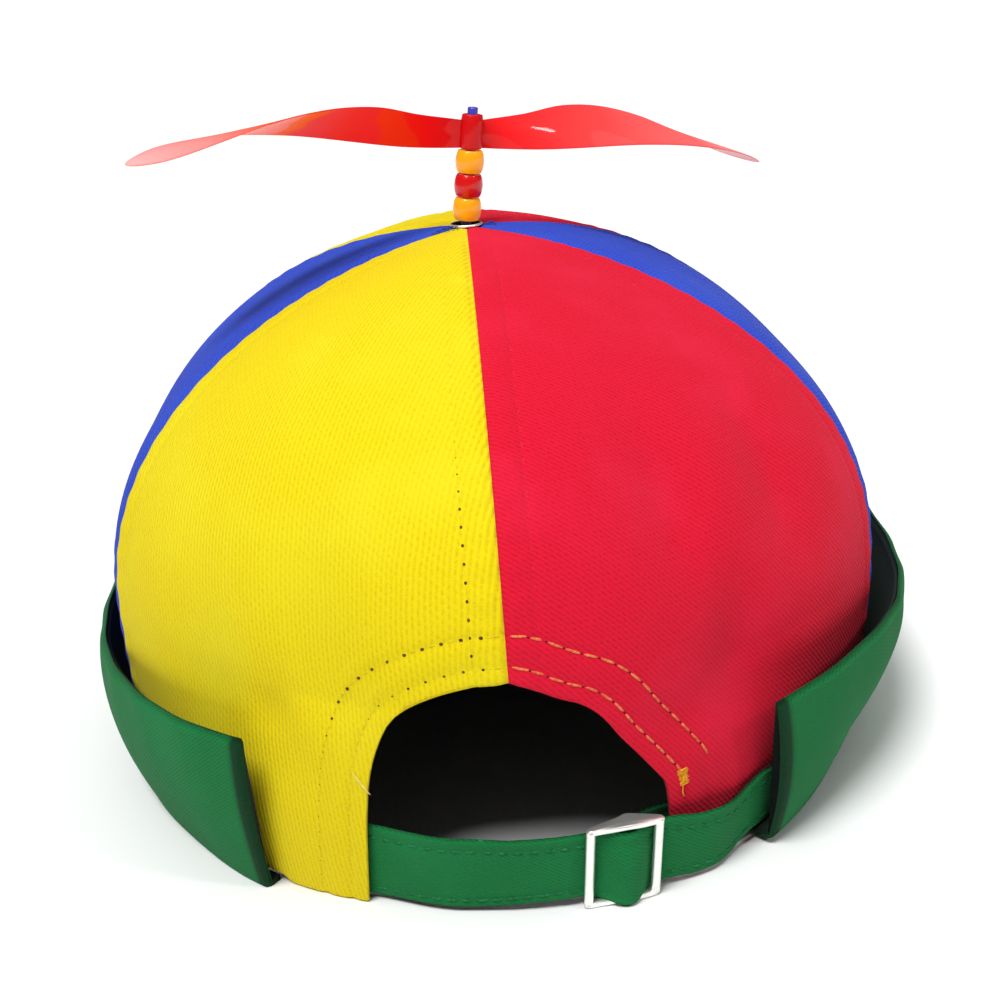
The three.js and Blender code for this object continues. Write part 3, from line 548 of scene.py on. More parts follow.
class Value:
    """A number that changes over a surface. Python sums on it add the Math nodes that work it out."""

    def __init__(self, finish, socket):
        self.finish, self.socket = finish, socket

    def math(self, operation, *others):
        sockets = dict(enumerate((self, *others)))
        return self.finish.add("ShaderNodeMath", {"operation": operation}, sockets)

    def __add__(self, other):
        return self.math("ADD", other)

    def __sub__(self, other):
        return self.math("SUBTRACT", other)

    def __rsub__(self, other):
        return self.finish.add("ShaderNodeMath", {"operation": "SUBTRACT"}, {0: other, 1: self})

    def __mul__(self, other):
        return self.math("MULTIPLY", other)

    def __truediv__(self, other):
        return self.math("DIVIDE", other)

    def __pow__(self, other):
        return self.math("POWER", other)

    __radd__ = __add__
    __rmul__ = __mul__

    def wave(self):
        """From 0 to 1 and back once for each whole number."""
        return (self * (2 * math.pi)).math("SINE") * 0.5 + 0.5

    def between(self, low, high):
        """0 below low, 1 above high, eased between."""
        return self.finish.add(
            "ShaderNodeMapRange", {"interpolation_type": "SMOOTHSTEP"}, {0: self, 1: low, 2: high}
        )


class Finish:
    """A material with one shader. Settings that are the same all over go straight on its sockets."""

    def __init__(self, name, **uniform):
        self.material = bpy.data.materials.new(name)
        self.material.use_nodes = True
        self.tree = self.material.node_tree
        self.shader = self.tree.nodes["Principled BSDF"]
        for socket, value in uniform.items():
            self.shader.inputs[socket.replace("_", " ")].default_value = value

    def add(self, kind, settings=None, sockets=None, output=0):
        """A node with its settings made first, then the values or links of its sockets."""
        node = self.tree.nodes.new(kind)
        for key, value in (settings or {}).items():
            if key == "stops":
                for stop in list(node.color_ramp.elements)[1:]:
                    node.color_ramp.elements.remove(stop)
                node.color_ramp.elements[0].position, node.color_ramp.elements[0].color = value[0]
                for position, colour in value[1:]:
                    node.color_ramp.elements.new(position).color = colour
            else:
                setattr(node, key, value)
        for key, value in (sockets or {}).items():
            if isinstance(value, Value):
                self.tree.links.new(value.socket, node.inputs[key])
            else:
                node.inputs[key].default_value = value
        return Value(self, node.outputs[output])

    def feed(self, socket, value):
        """Links a value to one of the shader's sockets."""
        self.tree.links.new(value.socket, self.shader.inputs[socket])

    def attribute(self, name, output="Fac"):
        return self.add("ShaderNodeAttribute", {"attribute_name": name}, output=output)

    def parts(self, vector):
        """The first two numbers of a vector."""
        first = self.add("ShaderNodeSeparateXYZ", None, {0: vector}, output=0)
        return first, Value(self, first.socket.node.outputs[1])

    def noise(self, scale, detail=2.0, vector=None, roughness=0.5):
        """Cloudy unevenness from 0 to 1, with scale in waves per metre on the object's own coordinates."""
        if vector is None:
            vector = self.add("ShaderNodeTexCoord", output="Object")
        return self.add(
            "ShaderNodeTexNoise", None,
            {"Vector": vector, "Scale": scale, "Detail": detail, "Roughness": roughness},
        )

    def mix(self, share, first, second):
        """Colour from first to second by a share."""
        return self.add(
            "ShaderNodeMix", {"data_type": "RGBA"}, {0: share, 6: first, 7: second}, output=2
        )

    def bump(self, height, distance, strength=1.0):
        """Relief of a height from 0 to 1, with the distance in metres."""
        normal = self.add(
            "ShaderNodeBump", None, {"Height": height, "Distance": distance, "Strength": strength}
        )
        self.feed("Normal", normal)


def twill(name, colour, deep, light, rib_turn, pitch=1.0, relief=0.00016, inside=None):
    """Cotton twill: slanted ribs one pitch apart, broken into short yarn floats, with valleys painted darker
    as shade, faded ribs and a cloudy dye. The rib direction is turned by rib_turn degrees from straight up.
    Where the attribute inside says so, the colour goes to the inside colour: painted shade."""
    finish = Finish(name, Roughness=0.9, Sheen_Weight=0.03, Sheen_Roughness=0.6, Specular_IOR_Level=0.1)
    across, up = finish.parts(finish.attribute("cloth", "Vector"))
    turn = math.radians(rib_turn)
    drift = (finish.noise(90.0, 1.0) - 0.5) * 1.1
    over = across * (math.cos(turn) / pitch) + up * (math.sin(turn) / pitch) + drift
    run = across * (-math.sin(turn) / pitch) + up * (math.cos(turn) / pitch)
    rib = over.wave()
    float_break = (run * 0.55 + over * 0.5).wave()
    fine = finish.noise(2600.0, 2.0)
    cloud = finish.noise(42.0, 3.0)
    height = rib * 0.62 + float_break * 0.16 + fine * 0.35
    # The valleys of the rib relief are painted darker as shade; the fine noise in the same mask adds random
    # yarn tone.
    valley = (1 - rib) * 0.55 + (1 - float_break) * 0.14 + (0.5 - fine) * 1.1
    shade = finish.mix(valley.between(0.2, 1.2), colour, deep)
    shade = finish.mix((cloud - 0.42).between(0.0, 0.34) * 0.45, shade, light)
    # The inside colour is painted shade: faces that lie in shade (the crown's inner faces, the cuff's back
    # and ends, the strap's back) are coloured dark.
    if inside is not None:
        shade = finish.mix(finish.attribute("inside"), shade, inside)
    finish.feed("Base Color", shade)
    finish.bump(height, relief)
    return finish.material


def plain_plastic(name, colour, **uniform):
    """Moulded plastic with a faint orange-peel relief and slight unevenness of gloss."""
    finish = Finish(name, Base_Color=colour, Specular_IOR_Level=0.4, **uniform)
    peel = finish.noise(420.0, 2.0)
    finish.feed("Roughness", peel * 0.12 + 0.2)
    finish.bump(peel, 0.00006)
    return finish


# The last colour given to each twill, inside, is painted shade for its faces in shade, not a colour of the
# cloth.
YELLOW = twill("yellow twill", linear(255, 232, 14), linear(226, 190, 4), linear(255, 242, 40), 4,
               inside=linear(52, 34, 14))
RED = twill("red twill", linear(240, 22, 56), linear(196, 8, 34), linear(250, 40, 78), 40, pitch=0.85,
            relief=0.00011, inside=linear(42, 16, 14))
BLUE = twill("blue twill", linear(54, 84, 214), linear(34, 56, 172), linear(66, 100, 224), 62, relief=0.0001,
             inside=linear(20, 20, 42))
GREEN = twill("green twill", linear(22, 128, 66), linear(12, 98, 46), linear(32, 142, 78), 55, pitch=0.7,
              relief=0.00006, inside=linear(6, 40, 22))


# Crown panels

def panel_grid(panel, columns, rows):
    """Turn and level over a panel from its lower edge (the arch and hem, or the lifted rim) to the top hole:
    straight lines between matching points of the two edges."""
    start, end = SEAMS[panel], SEAMS[panel + 1]
    share = np.linspace(0, 1, columns)
    if panel in (2, 3):
        side = 1 if panel == 3 else -1
        line = arch_line(side, 160)
        arch_turn, arch_level = place(line[:, 0], line[:, 1], panel)
        hem_turn = np.linspace(arch_turn[-1], side * BACK_SEAM, 120)[1:]
        low_turn = np.r_[arch_turn, hem_turn]
        low_level = np.maximum(np.r_[arch_level, -1 + 0 * hem_turn], -1)
        low_lift = np.r_[0 * arch_turn, rim_lift(hem_turn) / WIDEST_HEIGHT]
        points = crown_point(low_turn, low_level + low_lift, panel)
        run = lengths(points)
        places = run[-1] * share
        bottom_turn = np.interp(places, run, low_turn)
        bottom_level = np.interp(places, run, low_level)
        lift = np.interp(places, run, low_lift)
        top_turn = side * BACK_SEAM * share
        if side < 0:
            bottom_turn, bottom_level, lift, top_turn = (
                values[::-1] for values in (bottom_turn, bottom_level, lift, top_turn)
            )
    else:
        bottom_turn = start + (end - start) * share
        bottom_level = -1 + 0 * bottom_turn
        lift = rim_lift(bottom_turn) / WIDEST_HEIGHT
        top_turn = bottom_turn
    top_level = level_at_radius(top_turn, HOLE_RADIUS + EYELET_WALL + GAP)
    lip = PANEL_LIP * (1 - np.cos(np.linspace(0, math.pi / 2, 6)))
    body = PANEL_LIP + (1 - PANEL_LIP) * np.linspace(0, 1, rows) ** 0.95
    up = np.r_[lip[:-1], body][:, None]
    fullness = np.r_[np.maximum(np.sin(np.linspace(0, math.pi / 2, 6))[:-1], 0.1), np.ones(rows)]
    turn = bottom_turn + (top_turn - bottom_turn) * up
    lower_level = bottom_level + lift * (1 - up) ** LIFT_FADE
    level = lower_level + (top_level - lower_level) * up**CLIMB_EASING
    return turn, level, fullness


def edge_distance(points, line):
    """Distance from each point to the nearest point of a line."""
    flat = points.reshape(-1, 3)
    nearest = np.full(len(flat), 1e9)
    for block in np.array_split(np.arange(len(line)), 12):
        away = np.linalg.norm(flat[:, None] - line[block][None], axis=-1).min(axis=1)
        nearest = np.minimum(nearest, away)
    return nearest.reshape(points.shape[:-1])


def arch_edge(panel):
    """Edge of the arch on a back panel, as points on the crown."""
    line = arch_line(1 if panel == 3 else -1, 160)
    turn, level = place(line[:, 0], line[:, 1], panel)
    return crown_point(turn, level, panel)


ARCH_EDGES = {panel: arch_edge(panel) for panel in (2, 3)}


def dressed_face(turn, level, panel):
    """Outer face of a panel with its small relief, and its outward directions. It is rolled in at both seams,
    sunk under each row of stitches, slightly puckered beside the seams and softly uneven between them."""
    start, end = SEAMS[panel], SEAMS[panel + 1]
    share = np.clip((turn - start) / (end - start), 0, 1)
    plain = crown_point(turn, level, panel)
    normal = oval_normal(turn, level)
    width = panel_width(level, panel)
    wide = smooth(width, 16, 40)
    first, last = crown_point(start + 0 * turn, level, panel), crown_point(end + 0 * turn, level, panel)
    seam = np.minimum(np.linalg.norm(plain - first, axis=-1), np.linalg.norm(plain - last, axis=-1))
    rise = climb_length(level, panel)
    roll = 0.8 * np.exp(-((seam / 1.3) ** 2)) * (0.2 + 0.8 * smooth(width, 5, 20))
    ditch = 0.3 * np.exp(-(((seam - SEAM_ROW) / 0.9) ** 2)) * wide
    wave = np.sin(rise * 0.95 + 3 * ripple(rise / 9, share * 4, panel))
    pucker = 0.1 * wave * smooth(seam, 8.5, 2.5) * smooth(seam, 0, 2.2) * wide
    swell = 0.35 * ripple(share * 7 + panel, rise / 16, 10 + panel)
    for at_turn, at_level, depth, turn_spread, level_spread in SOFT_DENTS:
        away = turn_between(turn, at_turn) / turn_spread
        swell = swell - depth * np.exp(-(away**2) - ((level - at_level) / level_spread) ** 2)
    if panel in ARCH_EDGES:
        edge = edge_distance(plain, ARCH_EDGES[panel])
        for row in ARCH_ROWS:
            ditch = ditch + 0.3 * np.exp(-(((edge - row) / 0.9) ** 2))
        swell = swell * smooth(edge, 2, 14)
    push = swell * smooth(seam, 0, 12) + pucker - roll - ditch
    return plain + normal * push[..., None], normal


def crown_panel(name, panel, finish, slot, columns, rows):
    """One twill panel as a closed wall round its dressed face, with its lower edge rounded over."""
    turn, level, fullness = panel_grid(panel, columns, rows)
    start, end = SEAMS[panel], SEAMS[panel + 1]
    share = np.clip((turn - start) / (end - start), 0, 1)
    face, normal = dressed_face(turn, level, panel)
    half = CLOTH / 2
    middle = face - normal * half
    bulge = (half * fullness)[:, None, None]
    outside = middle + normal * bulge
    inner_columns = np.unique(np.linspace(0, columns - 1, columns // 4).astype(int))
    inside = (middle - normal * bulge)[:, inner_columns[::-1]]
    across, rise = (share - 0.5) * panel_width(level, panel), climb_length(level, panel)
    cloth = np.stack([across, rise, 0 * rise], axis=-1)
    grid = np.concatenate([outside, inside], axis=1)
    values = {
        "cloth": np.concatenate([cloth, cloth[:, inner_columns[::-1]]], axis=1).reshape(-1, 3),
        # inside is 1 on the inner face, which is painted dark as shade inside the crown.
        "inside": np.concatenate([0 * across, 0 * across[:, inner_columns] + 1], axis=1).ravel(),
    }
    faces = wall_faces(len(grid), columns, inner_columns)
    put_mesh(name, grid.reshape(-1, 3), faces, finish, name, "hat", values)


PANELS = [
    ("panel_front_left", 0, YELLOW, "yellow_twill", 110, 150),
    ("panel_side_left", 1, BLUE, "blue_twill", 110, 150),
    ("panel_back_left", 2, YELLOW, "yellow_twill", 200, 210),
    ("panel_back_right", 3, RED, "red_twill", 200, 210),
    ("panel_side_right", 4, BLUE, "blue_twill", 110, 150),
    ("panel_front_right", 5, RED, "red_twill", 110, 150),
]
for panel_row in PANELS:
    crown_panel(*panel_row)


# Cuff

def cuff_surface():
    """Cuff: a section with a fold under the crown, a rounded heel, a standing wall of two cloth layers and a
    rounded top, swept round the rim. The wall swells slightly and its two ends are rounded off."""
    ends = CUFF_LIP * (1 - np.cos(np.linspace(0, math.pi / 2, 6)))
    swing = np.sin(np.linspace(0, math.pi / 2, 6))[:-1]
    way = np.r_[ends[:-1], np.linspace(CUFF_LIP, 1 - CUFF_LIP, CUFF_STEPS), 1 - ends[:-1][::-1]][:, None]
    pinch = np.r_[swing, np.ones(CUFF_STEPS), swing[::-1]][:, None]
    foot_turn = CUFF_RIGHT_END + (CUFF_LEFT_END - CUFF_RIGHT_END) * way
    lean = CUFF_LEFT_LEAN * smooth(way, 0.92, 1) - CUFF_RIGHT_LEAN * (1 - smooth(way, 0, 0.08))
    lift = foot_lift(way)
    height = CUFF_HEIGHT * rounded(CUFF, 1, way)
    flare = CUFF_FLARE * rounded(CUFF, 2, way)
    belly = CUFF_BELLY * rounded(CUFF, 3, way)
    foot_flare = CUFF_FOOT_FLARE * rounded(CUFF, 4, way)
    strap_room = (STRAP_THICKNESS + SEAT_GAP) * (1 - smooth(way, 0.05, 0.09))
    wall = np.linspace(0, 1, 34)[None, :]

    def face(share):
        turn = foot_turn + lean * share
        z = lift + FOLD + (height - lift - FOLD) * share
        level = np.where(z < WIDEST_HEIGHT, z / WIDEST_HEIGHT - 1, 0)
        sideways = oval_normal(turn, -0.5 + 0 * turn) * LEVEL_ONLY
        clear = GAP + flare * share**1.2 + belly * 4 * share * (1 - share) + foot_flare * (1 - share) ** 1.5
        return oval_point(turn, level), unit(sideways), np.maximum(strap_room + GAP, clear)

    base, sideways, clear = face(wall + 0 * way)
    run = way * CUFF_WAVE_RUN
    wave = 0.35 * ripple(run / 10, wall * 5, 31) + 0.25 * np.sin(run * 0.35 + 2 * wall) * smooth(wall, 0.3, 1)
    swell = 0.5 * np.sin(math.pi * wall) + wave * smooth(wall, 0, 0.2)
    half = CUFF_THICKNESS / 2
    cap = np.sqrt(np.clip(1 - np.clip((wall - 0.965) / 0.035, 0, 1) ** 2, 0, 1)) * pinch
    outer = base + sideways * (clear + half + (half + 0.3 * swell) * cap + 0.4 * swell - 0.2)[..., None]
    inner = base + sideways * (clear + half - half * cap + 0.15 * wave)[..., None]
    foot_level = lift / WIDEST_HEIGHT - 1
    foot = oval_point(foot_turn, foot_level)
    foot_side = unit(oval_normal(foot_turn, -0.5 + 0 * foot_turn) * LEVEL_ONLY)
    heel = np.sum((outer[:, :1] - foot) * foot_side, axis=-1)
    bend = np.linspace(0, math.pi / 2, 7)[None, 1:-1]
    radius = np.minimum(CUFF_THICKNESS / 2, FOLD)
    corner = (
        foot + foot_side * (heel - radius + radius * np.sin(bend))[..., None]
        + UP * (lift + radius - radius * np.cos(bend) - foot[..., 2])[..., None]
    )
    under = np.linspace(0, 1, 5)[None, :]
    reach = -CLOTH + (heel - radius + CLOTH) * under
    sole = foot + foot_side * reach[..., None] + UP * (lift - foot[..., 2] + 0 * reach)[..., None]
    tongue = foot + foot_side * (-CLOTH) + UP * (lift + FOLD - foot[..., 2] + 0 * way)[..., None]
    grid = np.concatenate([sole, corner, outer, inner[:, ::-1], tongue], axis=1)[:, ::-1]
    up = lengths_across(grid)
    around = np.broadcast_to(way * CUFF_CLOTH_RUN, up.shape)
    # Painted shade: the inner face, and the last few millimetres of each end, are marked to take the dark
    # inside colour in place of the shade they lie in.
    deep = np.zeros(up.shape)
    deep[:, :inner.shape[1] + 1] = 1
    end_shade = smooth(np.minimum(way, 1 - way) * CUFF_CLOTH_RUN, 3.6, 2.6)
    shade = np.clip(deep + end_shade * 0.85, 0, 1)
    return grid, np.stack([around, up, 0 * up], axis=-1), shade


def lengths_across(grid):
    """Length along each row of a grid up to each of its points."""
    step = np.linalg.norm(np.diff(grid, axis=1), axis=-1)
    return np.concatenate([np.zeros((len(grid), 1)), np.cumsum(step, axis=1)], axis=1)


cuff_grid, cuff_cloth, cuff_painted_shade = cuff_surface()
put_mesh("cuff", cuff_grid.reshape(-1, 3), ring_sweep(cuff_grid), GREEN, "cuff", "hat",
         {"cloth": cuff_cloth.reshape(-1, 3), "inside": cuff_painted_shade.ravel()})


# Strap and tab

RIM_TURNS = np.linspace(-90, 90, 361)
RIM_RUN = lengths(oval_point(RIM_TURNS, -1 + 0 * RIM_TURNS))
RIM_RUN = RIM_RUN - RIM_RUN[180]


def strap_point(along, out, up):
    """Place so far along the rim from the middle of the back, out from the crown's straightened lower face,
    and up."""
    turn = np.interp(along, RIM_RUN, RIM_TURNS)
    seam = np.where(turn < 0, -BACK_SEAM, BACK_SEAM)

    def smoothed(level):
        share = (turn / seam)[..., None]
        straight = oval_point(0 * turn, level) * (1 - share) + oval_point(seam, level) * share
        pull = flatness(level)[..., None]
        return oval_point(turn, level) * (1 - pull) + straight * pull

    foot = smoothed(-1 + 0 * turn)
    head = smoothed(STRAP_HEIGHT / WIDEST_HEIGHT - 1 + 0 * turn)
    sideways = unit(oval_normal(turn, -1 + 0 * turn) * LEVEL_ONLY)
    slope = np.sum((head - foot) * sideways, axis=-1) / STRAP_HEIGHT
    point = foot + sideways * (out + slope * up)[..., None]
    return np.concatenate([point[..., :2], (up + 0 * out)[..., None]], axis=-1), sideways


SLIDE_LEFT = SLIDE_ALONG - SLIDE_WIDTH / 2 + BAR_RADIUS
SLIDE_RIGHT = SLIDE_ALONG + SLIDE_WIDTH / 2 - BAR_RADIUS
SLIDE_MIDDLE = SLIDE_ALONG + BAR_SHIFT
LEFT_BAR_OUT = STAND_OFF - SLIDE_SWING + GAP + BAR_RADIUS
RIGHT_BAR_OUT = LEFT_BAR_OUT + SLIDE_SWING
MIDDLE_BAR_OUT = (LEFT_BAR_OUT + RIGHT_BAR_OUT) / 2 - BAR_SETBACK
TAB_LOOP = BAR_RADIUS + GAP + TAB_THICKNESS / 2
HUMP_OUT = MIDDLE_BAR_OUT + TAB_LOOP + TAB_THICKNESS / 2 + GAP + STRAP_THICKNESS / 2
SLIDE_HEIGHT = STRAP_RISE + STRAP_HEIGHT + PLATE - SLIDE_HEADROOM
INSIDE_OUT = -CLOTH - GAP - STRAP_THICKNESS / 2

STRAP_LINE = np.array([
    (-STRAP_LEFT, INSIDE_OUT), (-0.94 * ARCH_LEFT, INSIDE_OUT), (-ARCH_LEFT * 0.3, 0.1 * STAND_OFF),
    (SLIDE_LEFT, LEFT_BAR_OUT - BAR_RADIUS - GAP - STRAP_THICKNESS / 2), (SLIDE_MIDDLE, HUMP_OUT),
    (SLIDE_RIGHT, RIGHT_BAR_OUT - BAR_RADIUS - GAP - STRAP_THICKNESS / 2),
    (ARCH_RIGHT + ARCH_MARGIN, 1.3 * STAND_OFF - STRAP_THICKNESS / 2),
    (0.72 * STRAP_RIGHT, SEAT_GAP + STRAP_THICKNESS / 2),
    (STRAP_RIGHT, SEAT_GAP + STRAP_END_OFF + STRAP_THICKNESS / 2),
])


def strap_centre(along):
    return eased(STRAP_LINE, 1, along)


def strap_edges(along):
    """Lower and upper edge of the strap along it."""
    reach = along / np.where(along < 0, STRAP_LEFT, STRAP_RIGHT)
    low = STRAP_RISE + STRAP_HEIGHT * eased(STRAP_EDGES, 1, reach)
    high = STRAP_RISE + STRAP_HEIGHT * (1 - eased(STRAP_EDGES, 2, reach))
    return low, high


def band(along, out, low, high, thickness, puff, seed, name):
    """Ribbon of cloth: an outline with round edges, flattened where its two rows of stitches pull it in,
    swept along the line. Its normal is square to the line."""
    centre, _ = strap_point(along, out, 0 * along)
    heading = unit(np.gradient(centre, axis=0) * LEVEL_ONLY)
    outward = np.stack([heading[:, 1], -heading[:, 0], 0 * heading[:, 0]], axis=-1)
    share = np.linspace(0, 1, 30)
    edge = np.sqrt(np.clip(1 - np.clip((np.abs(share - 0.5) - 0.462) / 0.038, 0, 1) ** 2, 0.0, 1))
    z = low[:, None] + (high - low)[:, None] * share[None]
    inset = np.exp(-(((z - low[:, None]) - 2.2) / 0.7) ** 2) + np.exp(-(((high[:, None] - z) - 3) / 0.7) ** 2)
    bow = puff[:, None] * (1 - 0.7 * smooth(share, 0.5, 1))[None]
    uneven = 0.12 * ripple(along[:, None] / 5, share[None] * 5, seed)
    middle, _ = strap_point(along[:, None] + 0 * z, out[:, None] + bow + uneven, z)
    half = thickness / 2 * edge[None] - 0.14 * inset
    front = middle + outward[:, None] * half[..., None]
    back = middle - outward[:, None] * half[..., None]
    grid = np.concatenate([front, back[:, ::-1]], axis=1)
    run = lengths(centre)
    cloth = np.stack([np.broadcast_to(run[:, None], z.shape), z, 0 * z], axis=-1)
    values = {
        "cloth": np.concatenate([cloth, cloth[:, ::-1]], axis=1).reshape(-1, 3),
        # The back face is marked 0.6: painted shade, part of the way to the dark inside colour, where it lies
        # against the crown.
        "inside": np.concatenate([0 * z, 0 * z + 0.6], axis=1).ravel(),
    }
    put_mesh(name, grid.reshape(-1, 3), ring_sweep(grid), GREEN, name, "hat", values)


strap_along = np.linspace(-STRAP_LEFT, STRAP_RIGHT, 320)
strap_low, strap_high = strap_edges(strap_along)
between = smooth(strap_along, SLIDE_LEFT, SLIDE_MIDDLE) * smooth(strap_along, SLIDE_RIGHT, SLIDE_MIDDLE)
band(strap_along, strap_centre(strap_along), strap_low - 1.6 * between, strap_high, STRAP_THICKNESS,
     1.7 * between, 41, "strap")


def tab_line():
    """Middle line of the tab as along and out: from its end inside the crown, round the slide's middle bar
    and back on itself."""
    inside = -CLOTH - GAP - TAB_THICKNESS / 2
    turn = np.radians(-80 - 20 * np.arange(11))
    loop = np.stack([
        SLIDE_MIDDLE + TAB_LOOP * np.cos(turn), MIDDLE_BAR_OUT + TAB_LOOP * np.sin(turn),
    ], axis=1)
    start = [
        (TAB_REACH, inside), (ARCH_RIGHT + ARCH_MARGIN, inside), (SLIDE_RIGHT + BAR_RADIUS + GAP, inside),
    ]
    end = (SLIDE_RIGHT, (MIDDLE_BAR_OUT - TAB_LOOP + inside) / 2 + TAB_THICKNESS + GAP)
    return through(np.vstack([start, loop, [end]]), 160)


tab = tab_line()
tab_low = SLIDE_FOOT + PLATE + 2 * GAP + 0 * tab[:, 0]
tab_high = SLIDE_HEIGHT - PLATE - 2 * GAP + 0 * tab[:, 0]
band(tab[:, 0], tab[:, 1], tab_low, tab_high, TAB_THICKNESS, 0 * tab_low, 43, "strap_tab")


# Stitches

stitch_form, stitch_faces = spindle()
knot_form, knot_faces = spindle(5, 6)


def at_places(array, run, places):
    """Rows of an array taken at places along a run of lengths."""
    return np.stack([np.interp(places, run, array[:, k]) for k in range(3)], axis=1)


def sew(line, out, pitch, length, radius, hole=None, sink=0.0, pull=None):
    """Row of stitches: threads of one length, one pitch apart, laid along a line on the cloth, and a small
    dark spot
    between neighbours: painted shade in the needle hole. Pull says, from 0 to 1 at the line's points, how
    wide the thread has pulled the holes open."""
    run = lengths(line)
    places = np.arange(pitch * 0.6, run[-1] - pitch * 0.4, pitch)
    centres, normals = at_places(line, run, places), unit(at_places(out, run, places))
    heading = unit(at_places(line, run, places + 0.3) - at_places(line, run, places - 0.3))
    normals = unit(normals - heading * np.sum(normals * heading, axis=1, keepdims=True))
    random = np.random.default_rng(len(places) + int(10 * run[-1]))
    size = np.stack([
        length / 2 * random.uniform(0.9, 1.06, len(places)), radius + 0 * places, radius + 0 * places,
    ], axis=1)
    made = instances(centres - normals * sink, heading, normals, stitch_form, stitch_faces, size)
    if not hole:
        return made, None
    where = places[:-1] + pitch / 2
    tight = np.interp(where, run, pull) if pull is not None else 1 + 0 * where
    where, tight = where[tight > 0.1], tight[tight > 0.1]
    if not len(where):
        return made, None
    spots, spot_out = at_places(line, run, where), unit(at_places(out, run, where))
    spot_heading = unit(at_places(line, run, where + 0.3) - at_places(line, run, where - 0.3))
    spot_size = np.stack([hole * tight, hole * 0.8 * tight, 0.12 + 0 * where], axis=1)
    return made, instances(spots, spot_heading, spot_out, knot_form, knot_faces, spot_size)


def surface_line(turn, level, panel, lift):
    """Line on a panel's dressed face, lifted a little, and its outward directions."""
    point, normal = dressed_face(turn, level, panel)
    return point + normal * lift, normal


def seam_row(panel, from_start, distance, low=-0.93, high=0.93):
    """Line that runs up a panel at one distance from one of its seams, found between the steps of a table."""
    level = np.linspace(low, high, 240)
    share = np.linspace(0, 0.46, 93)
    start, end = SEAMS[panel], SEAMS[panel + 1]
    turn = start + (end - start) * (share if from_start else 1 - share)
    points = crown_point(turn[None] + 0 * level[:, None], level[:, None] + 0 * turn[None], panel)
    away = np.linalg.norm(points - points[:, :1], axis=-1)
    after = np.argmax(away >= distance, axis=1)
    keep = after > 0
    row = np.arange(len(level))[keep]
    after, level = after[keep], level[keep]
    step = (distance - away[row, after - 1]) / (away[row, after] - away[row, after - 1])
    return turn[after - 1] + (turn[after] - turn[after - 1]) * step, level


def join(parts):
    """Several lots of points and faces as one."""
    points, faces, start = [], [], 0
    for some_points, some_faces in parts:
        points.append(some_points)
        faces.append(some_faces + start)
        start += len(some_points)
    return np.concatenate(points), np.concatenate(faces)


def thread(name, colour, dark):
    """Glossy sewing thread with a fine twist."""
    finish = Finish(name, Roughness=0.7, Sheen_Weight=0.04, Specular_IOR_Level=0.2)
    strand = finish.noise(1500.0, 2.0)
    finish.feed("Base Color", finish.mix(strand.between(0.3, 0.7), colour, dark))
    finish.bump(strand, 0.00008)
    return finish.material


THREAD_ON_RED = thread("salmon thread", linear(255, 150, 92), linear(232, 96, 60))
THREAD_ON_YELLOW = thread("yellow thread", linear(252, 228, 20), linear(232, 200, 10))
THREAD_TONAL_RED = thread("red thread", linear(240, 40, 70), linear(214, 20, 48))
THREAD_TONAL_BLUE = thread("blue thread", linear(60, 90, 205), linear(30, 50, 150))
THREAD_GREEN = thread("green thread", linear(30, 136, 76), linear(14, 96, 50))
THREAD_PALE = thread("pale thread", linear(250, 236, 170), linear(226, 200, 120))
THREAD_TACK = thread("amber thread", linear(255, 190, 30), linear(226, 130, 18))
# Dark spots for the needle holes: painted shade, coloured dark in place of the shadow inside the holes.
HOLE_SHADE_RED = thread("needle hole shade in red", linear(96, 6, 18), linear(60, 4, 10))
HOLE_SHADE_YELLOW = thread("needle hole shade in yellow", linear(120, 82, 12), linear(84, 52, 8))

sewn = {}


def collect(key, made):
    if made is not None:
        sewn.setdefault(key, []).append(made)


def arch_row(side, distance):
    """Line on a back panel at one distance from the arch's edge, offset square to the edge as it is drawn."""
    line = arch_line(side, 200)
    step = np.gradient(line, axis=0)
    square = np.stack([-step[:, 1], step[:, 0]], axis=1) * side
    offset = line + unit(square) * distance
    above = offset[:, 1] > (RED_ROWS_END if side > 0 else 1.2)
    offset = offset[above]
    order = np.r_[True, np.diff(offset[:, 0]) * side > -0.05]
    offset = offset[order]
    start = np.array([[0.35 * side, offset[0, 1] + 0.1 * abs(offset[0, 0])]])
    offset = along_line(np.vstack([start, offset]), 200)
    panel = 3 if side > 0 else 2
    turn, level = place(offset[:, 0], offset[:, 1], panel)
    return turn, level, panel


for row_distance in ARCH_ROWS:
    for row_side in (-1, 1):
        row_turn, row_level, row_panel = arch_row(row_side, row_distance)
        row_line, row_out = surface_line(row_turn, row_level, row_panel, 0.05)
        row_share = np.linspace(0, 1, len(row_line))
        if row_side > 0:
            threads, holes = sew(row_line, row_out, 3.6, 3.15, 0.27, 0.24)
            collect("on_red", threads)
            collect("holes_red", holes)
        else:
            if row_distance > ARCH_ROWS[0]:
                row_pull = 1 - 0.72 * smooth(row_share, 0.4, 0.62)
            else:
                row_pull = 0.8 - 0.65 * smooth(row_share, 0.25, 0.5)
            threads, holes = sew(row_line, row_out, 3.8, 2.9, 0.22, 0.42, 0.17, row_pull)
            collect("on_yellow", threads)
            collect("holes_yellow", holes)
TONAL = {0: "on_yellow", 1: "on_blue", 2: "on_yellow", 3: "tonal_red", 4: "on_blue", 5: "tonal_red"}
